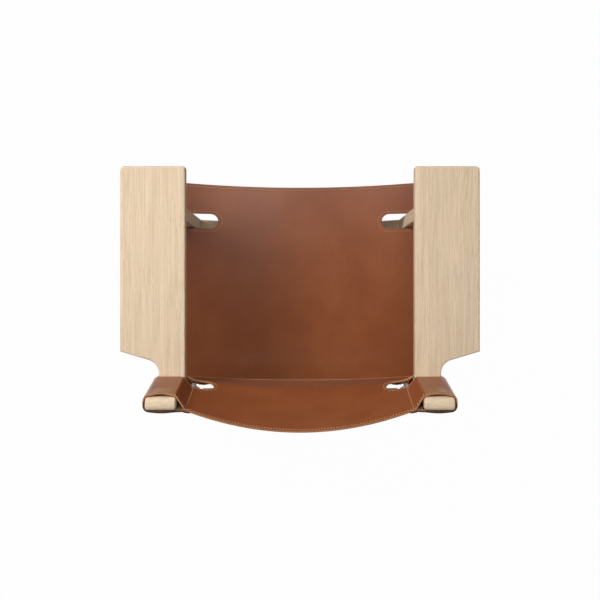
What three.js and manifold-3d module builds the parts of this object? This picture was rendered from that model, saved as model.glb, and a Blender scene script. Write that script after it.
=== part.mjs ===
// Sling lounge chair: an oak frame with broad armrests, one sheet of saddle leather for the seat and
// one for the back, both drawn tight by straps with brass buckles.
// Millimetres, +Z up. The front faces -Y, the sitter's left is +X, and the origin is on the floor
// under the middle of the chair.
import * as THREE from "three";
import { mergeVertices } from "three/addons/utils/BufferGeometryUtils.js";
import Module from "manifold-3d";

const wasm = await Module();
wasm.setup();

// Driving dimensions

const overall = { width: 825, depth: 600, height: 670 };
const fit = 0.3; // gap between pieces that seat on each other
const overrun = 6; // how far a cut runs past the face that it opens
const railTopShare = 0.5; // height of the seat rails at the front, of the overall height
const stretcherDrop = 153; // from there to the top of both stretchers

const armrest = {
  width: 149,
  thickness: 32,
  slantDegrees: 16.6, // of the outer edge where it turns in towards the post
  neckWidth: 60,
  neckFillet: 32,
  filletAhead: 9.6, // from the end of that fillet to the post
  innerCorner: 5,
  outerCorner: 10,
  edge: 4,
};

const frontLeg = { width: 66, thickness: 32, frontY: -208, edge: 4 };

const rearLeg = {
  width: 66,
  thickness: 28, // measured level, from front face to rear face
  kneeY: 185, // front face where the armrest meets it
  topY: 215.5, // front face at the top
  rise: 160, // above the armrest
  edge: 6,
  topCorner: 13,
};

const rail = {
  width: 30,
  height: 46,
  edge: 8,
  cheek: 32, // wood that the front leg keeps beside the notch for the rail
  frontY: -283,
  slopeDegrees: 5.73,
};

const frontStretcher = {
  thickness: 24,
  setBack: 2, // behind the front face of the legs
  height: 60,
  hollow: 9, // how far the front face is hollowed in the middle
  edge: 3,
};
const rearStretcher = { thickness: 20, height: 60, setIn: 7, edge: 3 };
const tenon = { thickness: 10, length: 26, shoulder: 8 };

const dowel = { diameter: 10, inLeg: 30, inArm: 20, inRail: 26, edgeInset: 16, endGap: 1 };
const glide = { diameter: 22, height: 3, pinDiameter: 6, pinLength: 10 };

const leather = { thickness: 4, wrapGap: 0.5 };

const seat = {
  sag: 50,
  frontOverhang: 2,
  frontHollow: 12, // how far the middle of the front edge lies behind its ends
  rearFull: 8, // how far the middle of the rear edge reaches behind its ends
  rearShort: 5, // ahead of the rear end of the rails
  flapLength: 55, // inwards of the rail, underneath
  slotInner: 57.5, // inwards of the front leg
  slotFront: 1,
  flapRelief: 5, // how much further forward the slot is cut in the flap
  slotRear: 3,
};

const back = {
  topBelowPost: 10,
  slotAbove: 5, // over the top of the armrest
  slotBelow: 4, // under the armrest
  tabHeight: 104,
  slotInner: 64.5, // inwards of the post
  slotRound: 20,
  seamInset: 18,
  joinInset: 13.5,
  flapInset: 30,
  // Where the sheet lies behind the front face of the posts, and how far it bows behind that.
  top: { set: 20, bow: 54 },
  slotTop: { set: 18, bow: 28 },
  slotBottom: { set: 6, bow: 23 },
  bottom: { set: -9, bow: 8 },
};

const strap = { width: 30, thickness: 3.5, onFlap: 34, tail: 48, tipTaper: 12 };
const chape = { thickness: 3, length: 40, upperLength: 16, neck: 25, slotWidth: 6, slotBack: 9 };
const buckle = {
  wire: 5,
  pitch: 30, // from heel bar to far bar
  innerHalfWidth: 17,
  outerRound: 6,
  innerRound: 3,
  bevel: 1,
};
const prong = { radius: 1.6, tipRadius: 1.2, ringInner: 3.2, ringOuter: 5.2, ringWidth: 4, tipPast: 3 };
const hole = { width: 6.4, start: 2, length: 18 }; // the slot in the strap that the prong comes through
const tipWidthShare = 0.4; // of the strap's width, at the very end of its tail
const backLift = 0.5; // extra room behind the back for the bends of the strap

// Places of the two closures along the rear tab of the seat leather
const closureShares = { middle: 0.2, rear: 0.8 };

// Smoothness of curves
const arcSteps = 3;
const cylinderSides = 12;
const wireSides = 8;
const bevelSteps = 2;
const sagSteps = 14;
const bowSteps = 10;
const stepsBetween = 2;

// Finishes
const finish = (color, roughness, metalness) =>
  new THREE.MeshStandardMaterial({ color, roughness, metalness });
const oak = () => finish("#d8c8ab", 0.6, 0);
const beech = () => finish("#cfae84", 0.7, 0);
const cowhide = () => finish("#7d4a2c", 0.45, 0);
const brass = () => finish("#b8923f", 0.3, 1);
const nylon = () => finish("#2a2725", 0.6, 0);

// Derived places
const armTop = overall.height - rearLeg.rise;
const armBottom = armTop - armrest.thickness;
const armOuter = overall.width / 2;
const clearHalf = armOuter - armrest.width; // half of the clear width between the armrests
const railTop = overall.height * railTopShare;
const stretcherTop = railTop - stretcherDrop;
const armFront = -overall.depth / 2;
const footFrontY = overall.depth / 2 - rearLeg.thickness;
const legGround = glide.height;
const railInner = clearHalf + rail.cheek;
const railOuter = railInner + rail.width;
const slope = THREE.MathUtils.degToRad(rail.slopeDegrees);
const lowerLean = (footFrontY - rearLeg.kneeY) / (armBottom - legGround);
const upperLean = (rearLeg.topY - rearLeg.kneeY) / rearLeg.rise;

// The front face of the rear leg at a height.
function postFront(z) {
  return (
    rearLeg.kneeY +
    lowerLean * Math.max(0, armBottom - z) +
    upperLean * Math.max(0, z - armTop)
  );
}

// Solids and booleans

function solidOf(geometry) {
  const bare = geometry.clone();
  bare.deleteAttribute("normal");
  bare.deleteAttribute("uv");
  const merged = mergeVertices(bare);
  return new wasm.Manifold(
    new wasm.Mesh({
      numProp: 3,
      vertProperties: merged.attributes.position.array,
      triVerts: new Uint32Array(merged.index.array),
    }),
  );
}

function geometryOf(solid) {
  const mesh = solid.getMesh();
  const geometry = new THREE.BufferGeometry();
  geometry.setAttribute("position", new THREE.BufferAttribute(mesh.vertProperties, 3));
  geometry.setIndex(new THREE.BufferAttribute(mesh.triVerts, 1));
  geometry.computeVertexNormals();
  return geometry;
}

function cut(geometry, ...cutters) {
  const solid = cutters.reduce((left, cutter) => left.subtract(solidOf(cutter)), solidOf(geometry));
  return geometryOf(solid);
}

function join(geometry, ...others) {
  const solid = others.reduce((sum, other) => sum.add(solidOf(other)), solidOf(geometry));
  return geometryOf(solid);
}

function piece(name, geometry, material) {
  const mesh = new THREE.Mesh(geometry, material);
  mesh.name = name;
  return mesh;
}

// A box from its lowest to its highest corner.
function block(low, high) {
  const geometry = new THREE.BoxGeometry(high[0] - low[0], high[1] - low[1], high[2] - low[2]);
  return geometry.translate((low[0] + high[0]) / 2, (low[1] + high[1]) / 2, (low[2] + high[2]) / 2);
}

// A round rod from one end to the other.
function rod(start, end, radius, endRadius = radius, sides = cylinderSides) {
  const axis = new THREE.Vector3().subVectors(end, start);
  const geometry = new THREE.CylinderGeometry(endRadius, radius, axis.length(), sides);
  const up = new THREE.Vector3(0, 1, 0);
  geometry.applyQuaternion(new THREE.Quaternion().setFromUnitVectors(up, axis.clone().normalize()));
  const middle = new THREE.Vector3().addVectors(start, end).multiplyScalar(1 / 2);
  return geometry.translate(middle.x, middle.y, middle.z);
}

// A rectangle with round corners, drawn about its middle.
function roundRectangle(path, halfWidth, halfHeight, radius) {
  path.moveTo(halfWidth, radius - halfHeight);
  path.lineTo(halfWidth, halfHeight - radius);
  path.absarc(halfWidth - radius, halfHeight - radius, radius, 0, Math.PI / 2);
  path.lineTo(radius - halfWidth, halfHeight);
  path.absarc(radius - halfWidth, halfHeight - radius, radius, Math.PI / 2, Math.PI);
  path.lineTo(-halfWidth, radius - halfHeight);
  path.absarc(radius - halfWidth, radius - halfHeight, radius, Math.PI, (3 * Math.PI) / 2);
  path.lineTo(halfWidth - radius, -halfHeight);
  path.absarc(halfWidth - radius, radius - halfHeight, radius, (3 * Math.PI) / 2, 2 * Math.PI);
  return path;
}

// A board: an outline given a thickness, with its edges rounded and its outline kept at full size.
function board(shape, thickness, edge) {
  const geometry = new THREE.ExtrudeGeometry(shape, {
    depth: thickness - 2 * edge,
    bevelThickness: edge,
    bevelSize: edge,
    bevelOffset: -edge,
    bevelSegments: bevelSteps,
    curveSegments: 2 * arcSteps,
  });
  return geometry.translate(0, 0, edge);
}

// A sheet of even thickness around rows of points that lie in its middle.
function sheet(rows, thickness) {
  const columns = rows[0].length;
  const half = thickness / 2;
  const positions = [];
  const normalAt = (row, column) => {
    const along = new THREE.Vector3().subVectors(
      rows[row][Math.min(column + 1, columns - 1)],
      rows[row][Math.max(column - 1, 0)],
    );
    const across = new THREE.Vector3().subVectors(
      rows[Math.min(row + 1, rows.length - 1)][column],
      rows[Math.max(row - 1, 0)][column],
    );
    return along.cross(across).normalize();
  };
  for (const side of [half, -half]) {
    rows.forEach((points, row) =>
      points.forEach((point, column) =>
        positions.push(...normalAt(row, column).multiplyScalar(side).add(point).toArray()),
      ),
    );
  }
  const under = rows.length * columns;
  const at = (row, column) => row * columns + column;
  const triangles = [];
  const quad = (a, b, c, d) => triangles.push(a, b, c, a, c, d);
  for (let row = 0; row < rows.length - 1; row += 1) {
    for (let column = 0; column < columns - 1; column += 1) {
      const corners = [at(row, column), at(row, column + 1), at(row + 1, column + 1), at(row + 1, column)];
      quad(...corners);
      quad(...corners.map((corner) => corner + under).reverse());
    }
  }
  const edgeQuad = (from, to) => quad(from, from + under, to + under, to);
  for (let column = 0; column < columns - 1; column += 1) {
    edgeQuad(at(0, column), at(0, column + 1));
    edgeQuad(at(rows.length - 1, column + 1), at(rows.length - 1, column));
  }
  for (let row = 0; row < rows.length - 1; row += 1) {
    edgeQuad(at(row + 1, 0), at(row, 0));
    edgeQuad(at(row, columns - 1), at(row + 1, columns - 1));
  }
  const geometry = new THREE.BufferGeometry();
  geometry.setAttribute("position", new THREE.Float32BufferAttribute(positions, 3));
  geometry.setIndex(triangles);
  geometry.computeVertexNormals();
  return geometry;
}

// Points on an arc in a plane, from one angle to another.
function arc(centre, radius, from, to, steps = arcSteps) {
  return Array.from({ length: steps + 1 }, (_, step) => {
    const angle = from + ((to - from) * step) / steps;
    return new THREE.Vector2(
      centre.x + radius * Math.cos(angle),
      centre.y + radius * Math.sin(angle),
    );
  });
}

// The angle at which a line from a point touches a circle, on the side given by the sign.
function touchAngle(point, centre, radius, sign) {
  const reach = new THREE.Vector2().subVectors(point, centre);
  return reach.angle() + sign * Math.acos(radius / reach.length());
}

// A half path and its mirror image as one path from -X to +X.
function mirrorPath(half) {
  const other = half.slice(1).map((point) => new THREE.Vector2(-point.x, point.y));
  return [...other.reverse(), ...half];
}

// Frame

function armrestOutline() {
  const outer = armOuter;
  const neckOuter = clearHalf + armrest.neckWidth;
  const end = rearLeg.kneeY - fit;
  const radius = armrest.neckFillet;
  const slant = THREE.MathUtils.degToRad(armrest.slantDegrees);
  // The fillet touches the side of the neck and the slanted edge.
  const centreX = neckOuter + radius;
  const centreY = rearLeg.kneeY - armrest.filletAhead;
  const slantAtCentre = centreY - radius / Math.cos(slant);
  const shoulderY = slantAtCentre - (outer - centreX) * Math.tan(slant);
  const shape = new THREE.Shape();
  shape.moveTo(clearHalf + armrest.innerCorner, armFront);
  shape.lineTo(outer - armrest.outerCorner, armFront);
  shape.absarc(
    outer - armrest.outerCorner,
    armFront + armrest.outerCorner,
    armrest.outerCorner,
    -Math.PI / 2,
    0,
  );
  shape.lineTo(outer, shoulderY);
  shape.absarc(centreX, centreY, radius, -Math.PI / 2 - slant, -Math.PI, true);
  shape.lineTo(neckOuter, end);
  shape.lineTo(clearHalf, end);
  shape.lineTo(clearHalf, armFront + armrest.innerCorner);
  shape.absarc(
    clearHalf + armrest.innerCorner,
    armFront + armrest.innerCorner,
    armrest.innerCorner,
    Math.PI,
    (3 * Math.PI) / 2,
  );
  return shape;
}

const legMiddleY = frontLeg.frontY + frontLeg.thickness / 2;
const armDowelXs = [clearHalf + dowel.edgeInset, clearHalf + frontLeg.width - dowel.edgeInset];
const neckMiddleX = clearHalf + armrest.neckWidth / 2;
const armMiddleZ = armBottom + armrest.thickness / 2;
const dowelRadius = dowel.diameter / 2;

// A dowel between two points, or the hole for it, which is wider by the fit and longer by the end gap.
function dowelRod(start, end) {
  return rod(start, end, dowelRadius);
}

function dowelHole(start, end) {
  const axis = new THREE.Vector3().subVectors(end, start).setLength(dowel.endGap);
  return rod(start.clone().sub(axis), end.clone().add(axis), dowelRadius + fit);
}

const armDowelEnds = armDowelXs.map((x) => [
  new THREE.Vector3(x, legMiddleY, armBottom - dowel.inLeg),
  new THREE.Vector3(x, legMiddleY, armBottom + dowel.inArm),
]);
const neckDowelEnds = [
  new THREE.Vector3(neckMiddleX, rearLeg.kneeY - dowel.inLeg, armMiddleZ),
  new THREE.Vector3(neckMiddleX, rearLeg.kneeY + dowel.inArm, armMiddleZ),
];

function armrestSolid() {
  const plain = board(armrestOutline(), armrest.thickness, armrest.edge).translate(0, 0, armBottom);
  return cut(plain, ...armDowelEnds.map((ends) => dowelHole(...ends)), dowelHole(...neckDowelEnds));
}

// Seat frame: the rails and everything on them are drawn level and then tipped back together.

const seatGroup = () => {
  const group = new THREE.Group();
  group.position.set(0, rail.frontY, railTop);
  group.rotation.x = -slope;
  group.updateMatrix();
  return group;
};
const seatMatrix = seatGroup().matrix;

// The distance along the seat frame of a place behind its front, at a depth below its top.
function alongSeat(y, depth) {
  return (y - rail.frontY + depth * Math.sin(slope)) / Math.cos(slope);
}

// Where the seat frame meets the front face of the rear leg, at a depth below its top.
function seatToLeg(depth) {
  const level = railTop - depth * Math.cos(slope);
  const reach = rearLeg.kneeY + lowerLean * (armBottom - level) - fit - rail.frontY;
  return (reach + depth * Math.sin(slope)) / (Math.cos(slope) - lowerLean * Math.sin(slope));
}

const railEnd = seatToLeg(rail.height / 2);
const railMiddleX = railInner + rail.width / 2;
const railDowelEnds = [
  new THREE.Vector3(railMiddleX, railEnd - dowel.inRail, -rail.height / 2),
  new THREE.Vector3(railMiddleX, railEnd + dowel.inArm, -rail.height / 2),
];
const seatPoint = (point) => point.clone().applyMatrix4(seatMatrix);
const legCrossing = seatPoint(
  new THREE.Vector3(0, alongSeat(legMiddleY, rail.height / 2), -rail.height / 2),
);
const crossDowelEnds = [
  new THREE.Vector3(clearHalf + dowel.edgeInset / 2, legMiddleY, legCrossing.z),
  new THREE.Vector3(railOuter - dowel.edgeInset / 2, legMiddleY, legCrossing.z),
];

function railSolid() {
  const shape = roundRectangle(new THREE.Shape(), rail.width / 2, rail.height / 2, rail.edge);
  const length = railEnd + rail.height;
  const plain = new THREE.ExtrudeGeometry(shape, {
    depth: length,
    bevelEnabled: false,
    curveSegments: arcSteps,
  });
  plain.rotateX(-Math.PI / 2);
  plain.translate(railMiddleX, 0, -rail.height / 2);
  plain.applyMatrix4(seatMatrix);
  // The rear end is cut to lie against the front face of the rear leg.
  const lean = Math.atan(lowerLean);
  const reach = overall.height;
  const cutter = block([railInner - overrun, 0, -reach], [railOuter + overrun, reach, reach]);
  cutter.rotateX(lean);
  cutter.translate(0, rearLeg.kneeY - fit, armBottom);
  const inSeat = railDowelEnds.map(seatPoint);
  return cut(plain, cutter, dowelHole(...inSeat), dowelHole(...crossDowelEnds));
}

// Legs

const tenonHalf = tenon.thickness / 2;

// A stretcher's tenon, or the mortise for it when it is grown by the fit.
function tenonBlock(middleY, height, growth) {
  return block(
    [
      clearHalf - tenon.shoulder,
      middleY - tenonHalf - growth,
      stretcherTop - height + tenon.shoulder - growth,
    ],
    [
      clearHalf + tenon.length + growth,
      middleY + tenonHalf + growth,
      stretcherTop - tenon.shoulder + growth,
    ],
  );
}

const frontStretcherFrontY = frontLeg.frontY + frontStretcher.setBack;

function frontTenon(growth) {
  const middleY = frontStretcherFrontY + frontStretcher.thickness / 2;
  return tenonBlock(middleY, frontStretcher.height, growth);
}

const rearStretcherFrontY = postFront(stretcherTop) + rearStretcher.setIn;

function rearTenon(growth) {
  const middleY = rearStretcherFrontY + rearStretcher.thickness / 2;
  return tenonBlock(middleY, rearStretcher.height, growth);
}

function glideAt(y) {
  const profile = [
    [0, 0],
    [glide.diameter / 2, 0],
    [glide.diameter / 2, glide.height],
    [glide.pinDiameter / 2, glide.height],
    [glide.pinDiameter / 2, glide.height + glide.pinLength],
    [0, glide.height + glide.pinLength],
  ].map(([radius, z]) => new THREE.Vector2(radius, z));
  const geometry = new THREE.LatheGeometry(profile, cylinderSides).rotateX(Math.PI / 2);
  return geometry.translate(clearHalf + frontLeg.width / 2, y, 0);
}

function glideHole(y) {
  const x = clearHalf + frontLeg.width / 2;
  return rod(
    new THREE.Vector3(x, y, 0),
    new THREE.Vector3(x, y, glide.height + glide.pinLength + dowel.endGap),
    glide.pinDiameter / 2 + fit,
  );
}

function frontLegSolid() {
  const shape = roundRectangle(
    new THREE.Shape(),
    frontLeg.width / 2,
    frontLeg.thickness / 2,
    frontLeg.edge,
  );
  const plain = new THREE.ExtrudeGeometry(shape, {
    depth: armBottom - legGround,
    bevelEnabled: false,
    curveSegments: arcSteps,
  });
  plain.translate(clearHalf + frontLeg.width / 2, legMiddleY, legGround);
  const notch = block(
    [railInner - fit, 0, -rail.height - fit],
    [clearHalf + frontLeg.width + overrun, railEnd / 2, fit],
  ).applyMatrix4(seatMatrix);
  return cut(
    plain,
    notch,
    frontTenon(fit),
    glideHole(legMiddleY),
    dowelHole(...crossDowelEnds),
    ...armDowelEnds.map((ends) => dowelHole(...ends)),
  );
}

const rearFootY = overall.depth / 2 - rearLeg.thickness / 2;

function rearLegSolid() {
  const back = (y) => y + rearLeg.thickness;
  const corner = rearLeg.topCorner;
  const top = overall.height;
  const shape = new THREE.Shape();
  shape.moveTo(footFrontY, legGround);
  shape.lineTo(back(footFrontY), legGround);
  shape.lineTo(back(rearLeg.kneeY), armBottom);
  shape.lineTo(back(rearLeg.kneeY), armTop);
  shape.lineTo(back(rearLeg.topY) - upperLean * corner, top - corner);
  shape.quadraticCurveTo(back(rearLeg.topY), top, back(rearLeg.topY) - corner, top);
  shape.lineTo(rearLeg.topY + corner, top);
  shape.quadraticCurveTo(rearLeg.topY, top, rearLeg.topY - upperLean * corner, top - corner);
  shape.lineTo(rearLeg.kneeY, armTop);
  shape.lineTo(rearLeg.kneeY, armBottom);
  const plain = board(shape, rearLeg.width, rearLeg.edge);
  // The outline's axes become Y and Z, and the thickness of the board becomes X.
  plain.applyMatrix4(
    new THREE.Matrix4().makeBasis(
      new THREE.Vector3(0, 1, 0),
      new THREE.Vector3(0, 0, 1),
      new THREE.Vector3(1, 0, 0),
    ),
  );
  plain.translate(clearHalf, 0, 0);
  return cut(
    plain,
    rearTenon(fit),
    glideHole(rearFootY),
    dowelHole(...neckDowelEnds),
    dowelHole(...railDowelEnds.map(seatPoint)),
  );
}

// Stretchers

function stretcher(outline, size, tenonOf) {
  const low = stretcherTop - size.height;
  const body = board(outline, size.height, size.edge).translate(0, 0, low);
  const right = tenonOf(0);
  const left = tenonOf(0).rotateY(Math.PI).translate(0, 0, low + stretcherTop);
  return join(body, right, left);
}

function frontStretcherSolid() {
  const front = frontStretcherFrontY;
  const rear = front + frontStretcher.thickness;
  const shape = new THREE.Shape();
  shape.moveTo(-clearHalf, front);
  shape.quadraticCurveTo(0, front + 2 * frontStretcher.hollow, clearHalf, front);
  shape.lineTo(clearHalf, rear);
  shape.lineTo(-clearHalf, rear);
  return stretcher(shape, frontStretcher, frontTenon);
}

function rearStretcherSolid() {
  const front = rearStretcherFrontY;
  const shape = new THREE.Shape();
  shape.moveTo(-clearHalf, front);
  shape.lineTo(clearHalf, front);
  shape.lineTo(clearHalf, front + rearStretcher.thickness);
  shape.lineTo(-clearHalf, front + rearStretcher.thickness);
  return stretcher(shape, rearStretcher, rearTenon);
}

// Seat sling

const wrapRadius = rail.edge + leather.wrapGap + leather.thickness / 2;
const sagAngle = Math.atan((2 * seat.sag) / railInner);
const sagEndX = railInner + rail.edge - wrapRadius * Math.sin(sagAngle);
const sagEndZ = wrapRadius * Math.cos(sagAngle) - rail.edge;
const flapZ = -rail.height - leather.wrapGap - leather.thickness / 2;
const flapEndX = railInner - seat.flapLength;

// The middle of the seat leather at a distance from the middle of the chair.
function sagAt(x) {
  return sagEndZ - seat.sag * (1 - (x / sagEndX) ** 2);
}

function seatPath() {
  const upperInner = new THREE.Vector2(railInner + rail.edge, -rail.edge);
  const upperOuter = new THREE.Vector2(railOuter - rail.edge, -rail.edge);
  const lowerOuter = new THREE.Vector2(railOuter - rail.edge, rail.edge - rail.height);
  const sagging = Array.from({ length: sagSteps }, (_, step) => {
    const x = (sagEndX * step) / sagSteps;
    return new THREE.Vector2(x, sagAt(x));
  });
  const half = [
    ...sagging,
    ...arc(upperInner, wrapRadius, Math.PI / 2 + sagAngle, Math.PI / 2, 2),
    ...arc(upperOuter, wrapRadius, Math.PI / 2, 0),
    ...arc(lowerOuter, wrapRadius, 0, -Math.PI / 2),
    new THREE.Vector2(railInner, flapZ),
    new THREE.Vector2(flapEndX, flapZ),
  ];
  return mirrorPath(half);
}

const seatRowShares = [0, 1 / 3, 2 / 3, 1];
const seatFrontEdge = -seat.frontOverhang;
const seatRearEdge = seatToLeg(0) - seat.rearShort;

// The slot through which the front leg passes the leather, with a round inner end.
function seatSlot(side) {
  const front = frontLeg.frontY - seat.slotFront;
  const rear = frontLeg.frontY + frontLeg.thickness + seat.slotRear;
  const radius = (rear - front) / 2;
  const inner = clearHalf - seat.slotInner + radius;
  const outer = railOuter + rail.height;
  const shape = new THREE.Shape();
  shape.moveTo(outer, front);
  shape.lineTo(outer, rear);
  shape.lineTo(inner, rear);
  shape.absarc(inner, front + radius, radius, Math.PI / 2, (3 * Math.PI) / 2);
  const geometry = new THREE.ExtrudeGeometry(shape, {
    depth: armBottom - stretcherTop,
    bevelEnabled: false,
    curveSegments: 4 * arcSteps,
  });
  geometry.translate(0, 0, stretcherTop);
  return side > 0 ? geometry : geometry.rotateZ(Math.PI).translate(0, front + rear, 0);
}

// The same slot in the flap under the rail, where it is cut further forward to clear the leg.
function flapSlot(side) {
  const ends = [side * (flapEndX - overrun), side * (railOuter - rail.edge)];
  const front = alongSeat(frontLeg.frontY - seat.slotFront, -flapZ) - seat.flapRelief;
  const rear = alongSeat(frontLeg.frontY + frontLeg.thickness, -flapZ);
  return block(
    [Math.min(...ends), front, flapZ - overrun],
    [Math.max(...ends), rear, flapZ + overrun],
  ).applyMatrix4(seatMatrix);
}

function seatSling() {
  const path = seatPath();
  const rows = seatRowShares.map((share) =>
    path.map((point) => {
      const inwards = Math.max(0, 1 - (point.x / sagEndX) ** 2);
      const front = seatFrontEdge + seat.frontHollow * inwards;
      const rear = seatRearEdge + seat.rearFull * inwards;
      const along = THREE.MathUtils.lerp(front, rear, share);
      return new THREE.Vector3(point.x, along, point.y);
    }),
  );
  const plain = sheet(rows, leather.thickness).applyMatrix4(seatMatrix);
  return cut(plain, seatSlot(1), seatSlot(-1), flapSlot(1), flapSlot(-1));
}

// Back sling

const slotTopZ = armTop + back.slotAbove;
const slotBottomZ = armBottom - back.slotBelow;
const backTopZ = overall.height - back.topBelowPost;
const backBottomZ = slotBottomZ - back.tabHeight;
const backLines = [
  { z: backBottomZ, ...back.bottom },
  { z: slotBottomZ, ...back.slotBottom },
  { z: slotTopZ, ...back.slotTop },
  { z: backTopZ, ...back.top },
];

// The sheet's place and bow at a height, between the lines that are given.
function backLineAt(z) {
  const upper = backLines.findIndex((line) => z <= line.z);
  const high = backLines[Math.max(1, upper)];
  const low = backLines[Math.max(1, upper) - 1];
  const share = (z - low.z) / (high.z - low.z);
  const y = (line) => postFront(line.z) + line.set;
  return {
    y: THREE.MathUtils.lerp(y(low), y(high), share),
    bow: THREE.MathUtils.lerp(low.bow, high.bow, share),
  };
}

// The middle of the back leather at a height and at a distance from the middle of the chair.
function backAt(z, x) {
  const line = backLineAt(z);
  return line.y + line.bow * (1 - (x / clearHalf) ** 2);
}

const flapOffset = leather.thickness + 2 * fit;

function backPath(z) {
  const edge = rearLeg.edge;
  const radius = edge + leather.wrapGap + leather.thickness / 2;
  const standOff = backLineAt(z).y + leather.wrapGap + leather.thickness / 2;
  const front = Math.min(postFront(z), standOff);
  const rear = postFront(z) + rearLeg.thickness;
  const inner = clearHalf;
  const outer = clearHalf + rearLeg.width;
  const frontInner = new THREE.Vector2(inner + edge, front + edge);
  const frontOuter = new THREE.Vector2(outer - edge, front + edge);
  const rearOuter = new THREE.Vector2(outer - edge, rear - edge);
  const rearInner = new THREE.Vector2(inner + edge, rear - edge);
  const seamX = clearHalf - back.seamInset;
  const joinX = clearHalf - back.joinInset;
  const flapX = clearHalf - back.flapInset;
  const bowed = Array.from({ length: bowSteps + 1 }, (_, step) => {
    const x = (seamX * step) / bowSteps;
    return new THREE.Vector2(x, backAt(z, x));
  });
  const seam = bowed[bowSteps];
  const joint = new THREE.Vector2(joinX, backAt(z, joinX) + flapOffset);
  const quarter = Math.PI / 2;
  const leave = touchAngle(joint, rearInner, radius, -1);
  const half = [
    ...bowed,
    ...arc(frontInner, radius, touchAngle(seam, frontInner, radius, 1), 3 * quarter, 2),
    ...arc(frontOuter, radius, 3 * quarter, 4 * quarter),
    ...arc(rearOuter, radius, 0, quarter),
    ...arc(rearInner, radius, quarter, leave, 2),
    joint,
    new THREE.Vector2(flapX, backAt(z, flapX) + flapOffset),
  ];
  return mirrorPath(half);
}

// The slot for the neck of the armrest, with a round inner end.
function backSlot(side) {
  const radius = back.slotRound;
  const inner = clearHalf - back.slotInner + radius;
  const outer = clearHalf + rearLeg.width + overrun + leather.thickness;
  const middle = (slotTopZ + slotBottomZ) / 2;
  const half = (slotTopZ - slotBottomZ) / 2;
  const shape = new THREE.Shape();
  shape.moveTo(outer, middle - half);
  shape.lineTo(outer, middle + half);
  shape.lineTo(inner, middle + half);
  shape.absellipse(inner, middle, radius, half, Math.PI / 2, (3 * Math.PI) / 2, false);
  const depth = overall.depth / 2;
  const geometry = new THREE.ExtrudeGeometry(shape, {
    depth,
    bevelEnabled: false,
    curveSegments: 4 * arcSteps,
  });
  geometry.rotateX(Math.PI / 2).translate(0, depth, 0);
  return side > 0 ? geometry : geometry.rotateZ(Math.PI).translate(0, depth, 0);
}

function backSling() {
  const between = (low, high, share) => THREE.MathUtils.lerp(low, high, share);
  const heights = [
    backBottomZ,
    between(backBottomZ, slotBottomZ, 1 / 2),
    slotBottomZ,
    slotTopZ,
    between(slotTopZ, backTopZ, 1 / 3),
    between(slotTopZ, backTopZ, 2 / 3),
    backTopZ,
  ];
  const rows = heights.map((z) => backPath(z).map((point) => new THREE.Vector3(point.x, point.y, z)));
  return cut(sheet(rows, leather.thickness), backSlot(1), backSlot(-1));
}

// Closures: a strap, its buckle and the chape that holds the buckle.
// Each is drawn in a plane of its own: x runs outwards to the side of the chair, y away from the
// leather, and z across the strap.

const barHalf = buckle.wire / 2;
const chapeRound = prong.ringInner + chape.thickness / 2;
const strapUnder = barHalf + fit + strap.thickness / 2;
const strapOver = chapeRound + chape.thickness / 2 + 2 * fit + strap.thickness / 2;

// A band of a given width along a path.
function band(path, thickness, halfWidthAt) {
  const rows = [-1, 1].map((side) =>
    path.map((point, index) => new THREE.Vector3(point.x, point.y, side * halfWidthAt(index))),
  );
  return sheet(rows.reverse(), thickness);
}

function smoothPath(points) {
  const curve = new THREE.CatmullRomCurve3(
    points.map((point) => new THREE.Vector3(point.x, point.y, 0)),
    false,
    "centripetal",
  );
  const steps = stepsBetween * (points.length - 1);
  return curve.getPoints(steps).map((point) => new THREE.Vector2(point.x, point.y));
}

// A place given along and above the buckle becomes a place in the plane of the closure.
function buckleFrame(heel, tilt) {
  const along = new THREE.Vector2(Math.cos(tilt), Math.sin(tilt));
  const above = new THREE.Vector2(-Math.sin(tilt), Math.cos(tilt));
  const point = (u, w) => heel.clone().addScaledVector(along, u).addScaledVector(above, w);
  const matrix = new THREE.Matrix4().makeBasis(
    new THREE.Vector3(along.x, along.y, 0),
    new THREE.Vector3(0, 0, -1),
    new THREE.Vector3(above.x, above.y, 0),
  );
  matrix.setPosition(heel.x, heel.y, 0);
  return { point, matrix };
}

function buckleSolid(matrix) {
  const halfLength = buckle.pitch / 2 + barHalf;
  const halfWidth = buckle.innerHalfWidth + buckle.wire;
  const shape = roundRectangle(new THREE.Shape(), halfLength, halfWidth, buckle.outerRound);
  const opening = roundRectangle(
    new THREE.Path(),
    halfLength - buckle.wire,
    buckle.innerHalfWidth,
    buckle.innerRound,
  );
  shape.holes.push(opening);
  const geometry = new THREE.ExtrudeGeometry(shape, {
    depth: buckle.wire - 2 * buckle.bevel,
    bevelThickness: buckle.bevel,
    bevelSize: buckle.bevel,
    bevelOffset: -buckle.bevel,
    bevelSegments: 1,
    curveSegments: 2,
  });
  geometry.translate(buckle.pitch / 2, 0, buckle.bevel - barHalf);
  return geometry.applyMatrix4(matrix);
}

function prongSolid(matrix) {
  const ring = new THREE.Shape();
  ring.absarc(0, 0, prong.ringOuter, 0, 2 * Math.PI);
  ring.holes.push(new THREE.Path().absarc(0, 0, prong.ringInner, 0, 2 * Math.PI));
  const loop = new THREE.ExtrudeGeometry(ring, {
    depth: prong.ringWidth,
    bevelEnabled: false,
    curveSegments: wireSides,
  });
  loop.translate(0, 0, -prong.ringWidth / 2).rotateX(Math.PI / 2);
  const height = barHalf + fit + prong.radius;
  const rodSolid = rod(
    new THREE.Vector3(0, 0, height),
    new THREE.Vector3(buckle.pitch + prong.tipPast, 0, height),
    prong.radius,
    prong.tipRadius,
    wireSides,
  );
  return join(loop, rodSolid).applyMatrix4(matrix);
}

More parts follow.
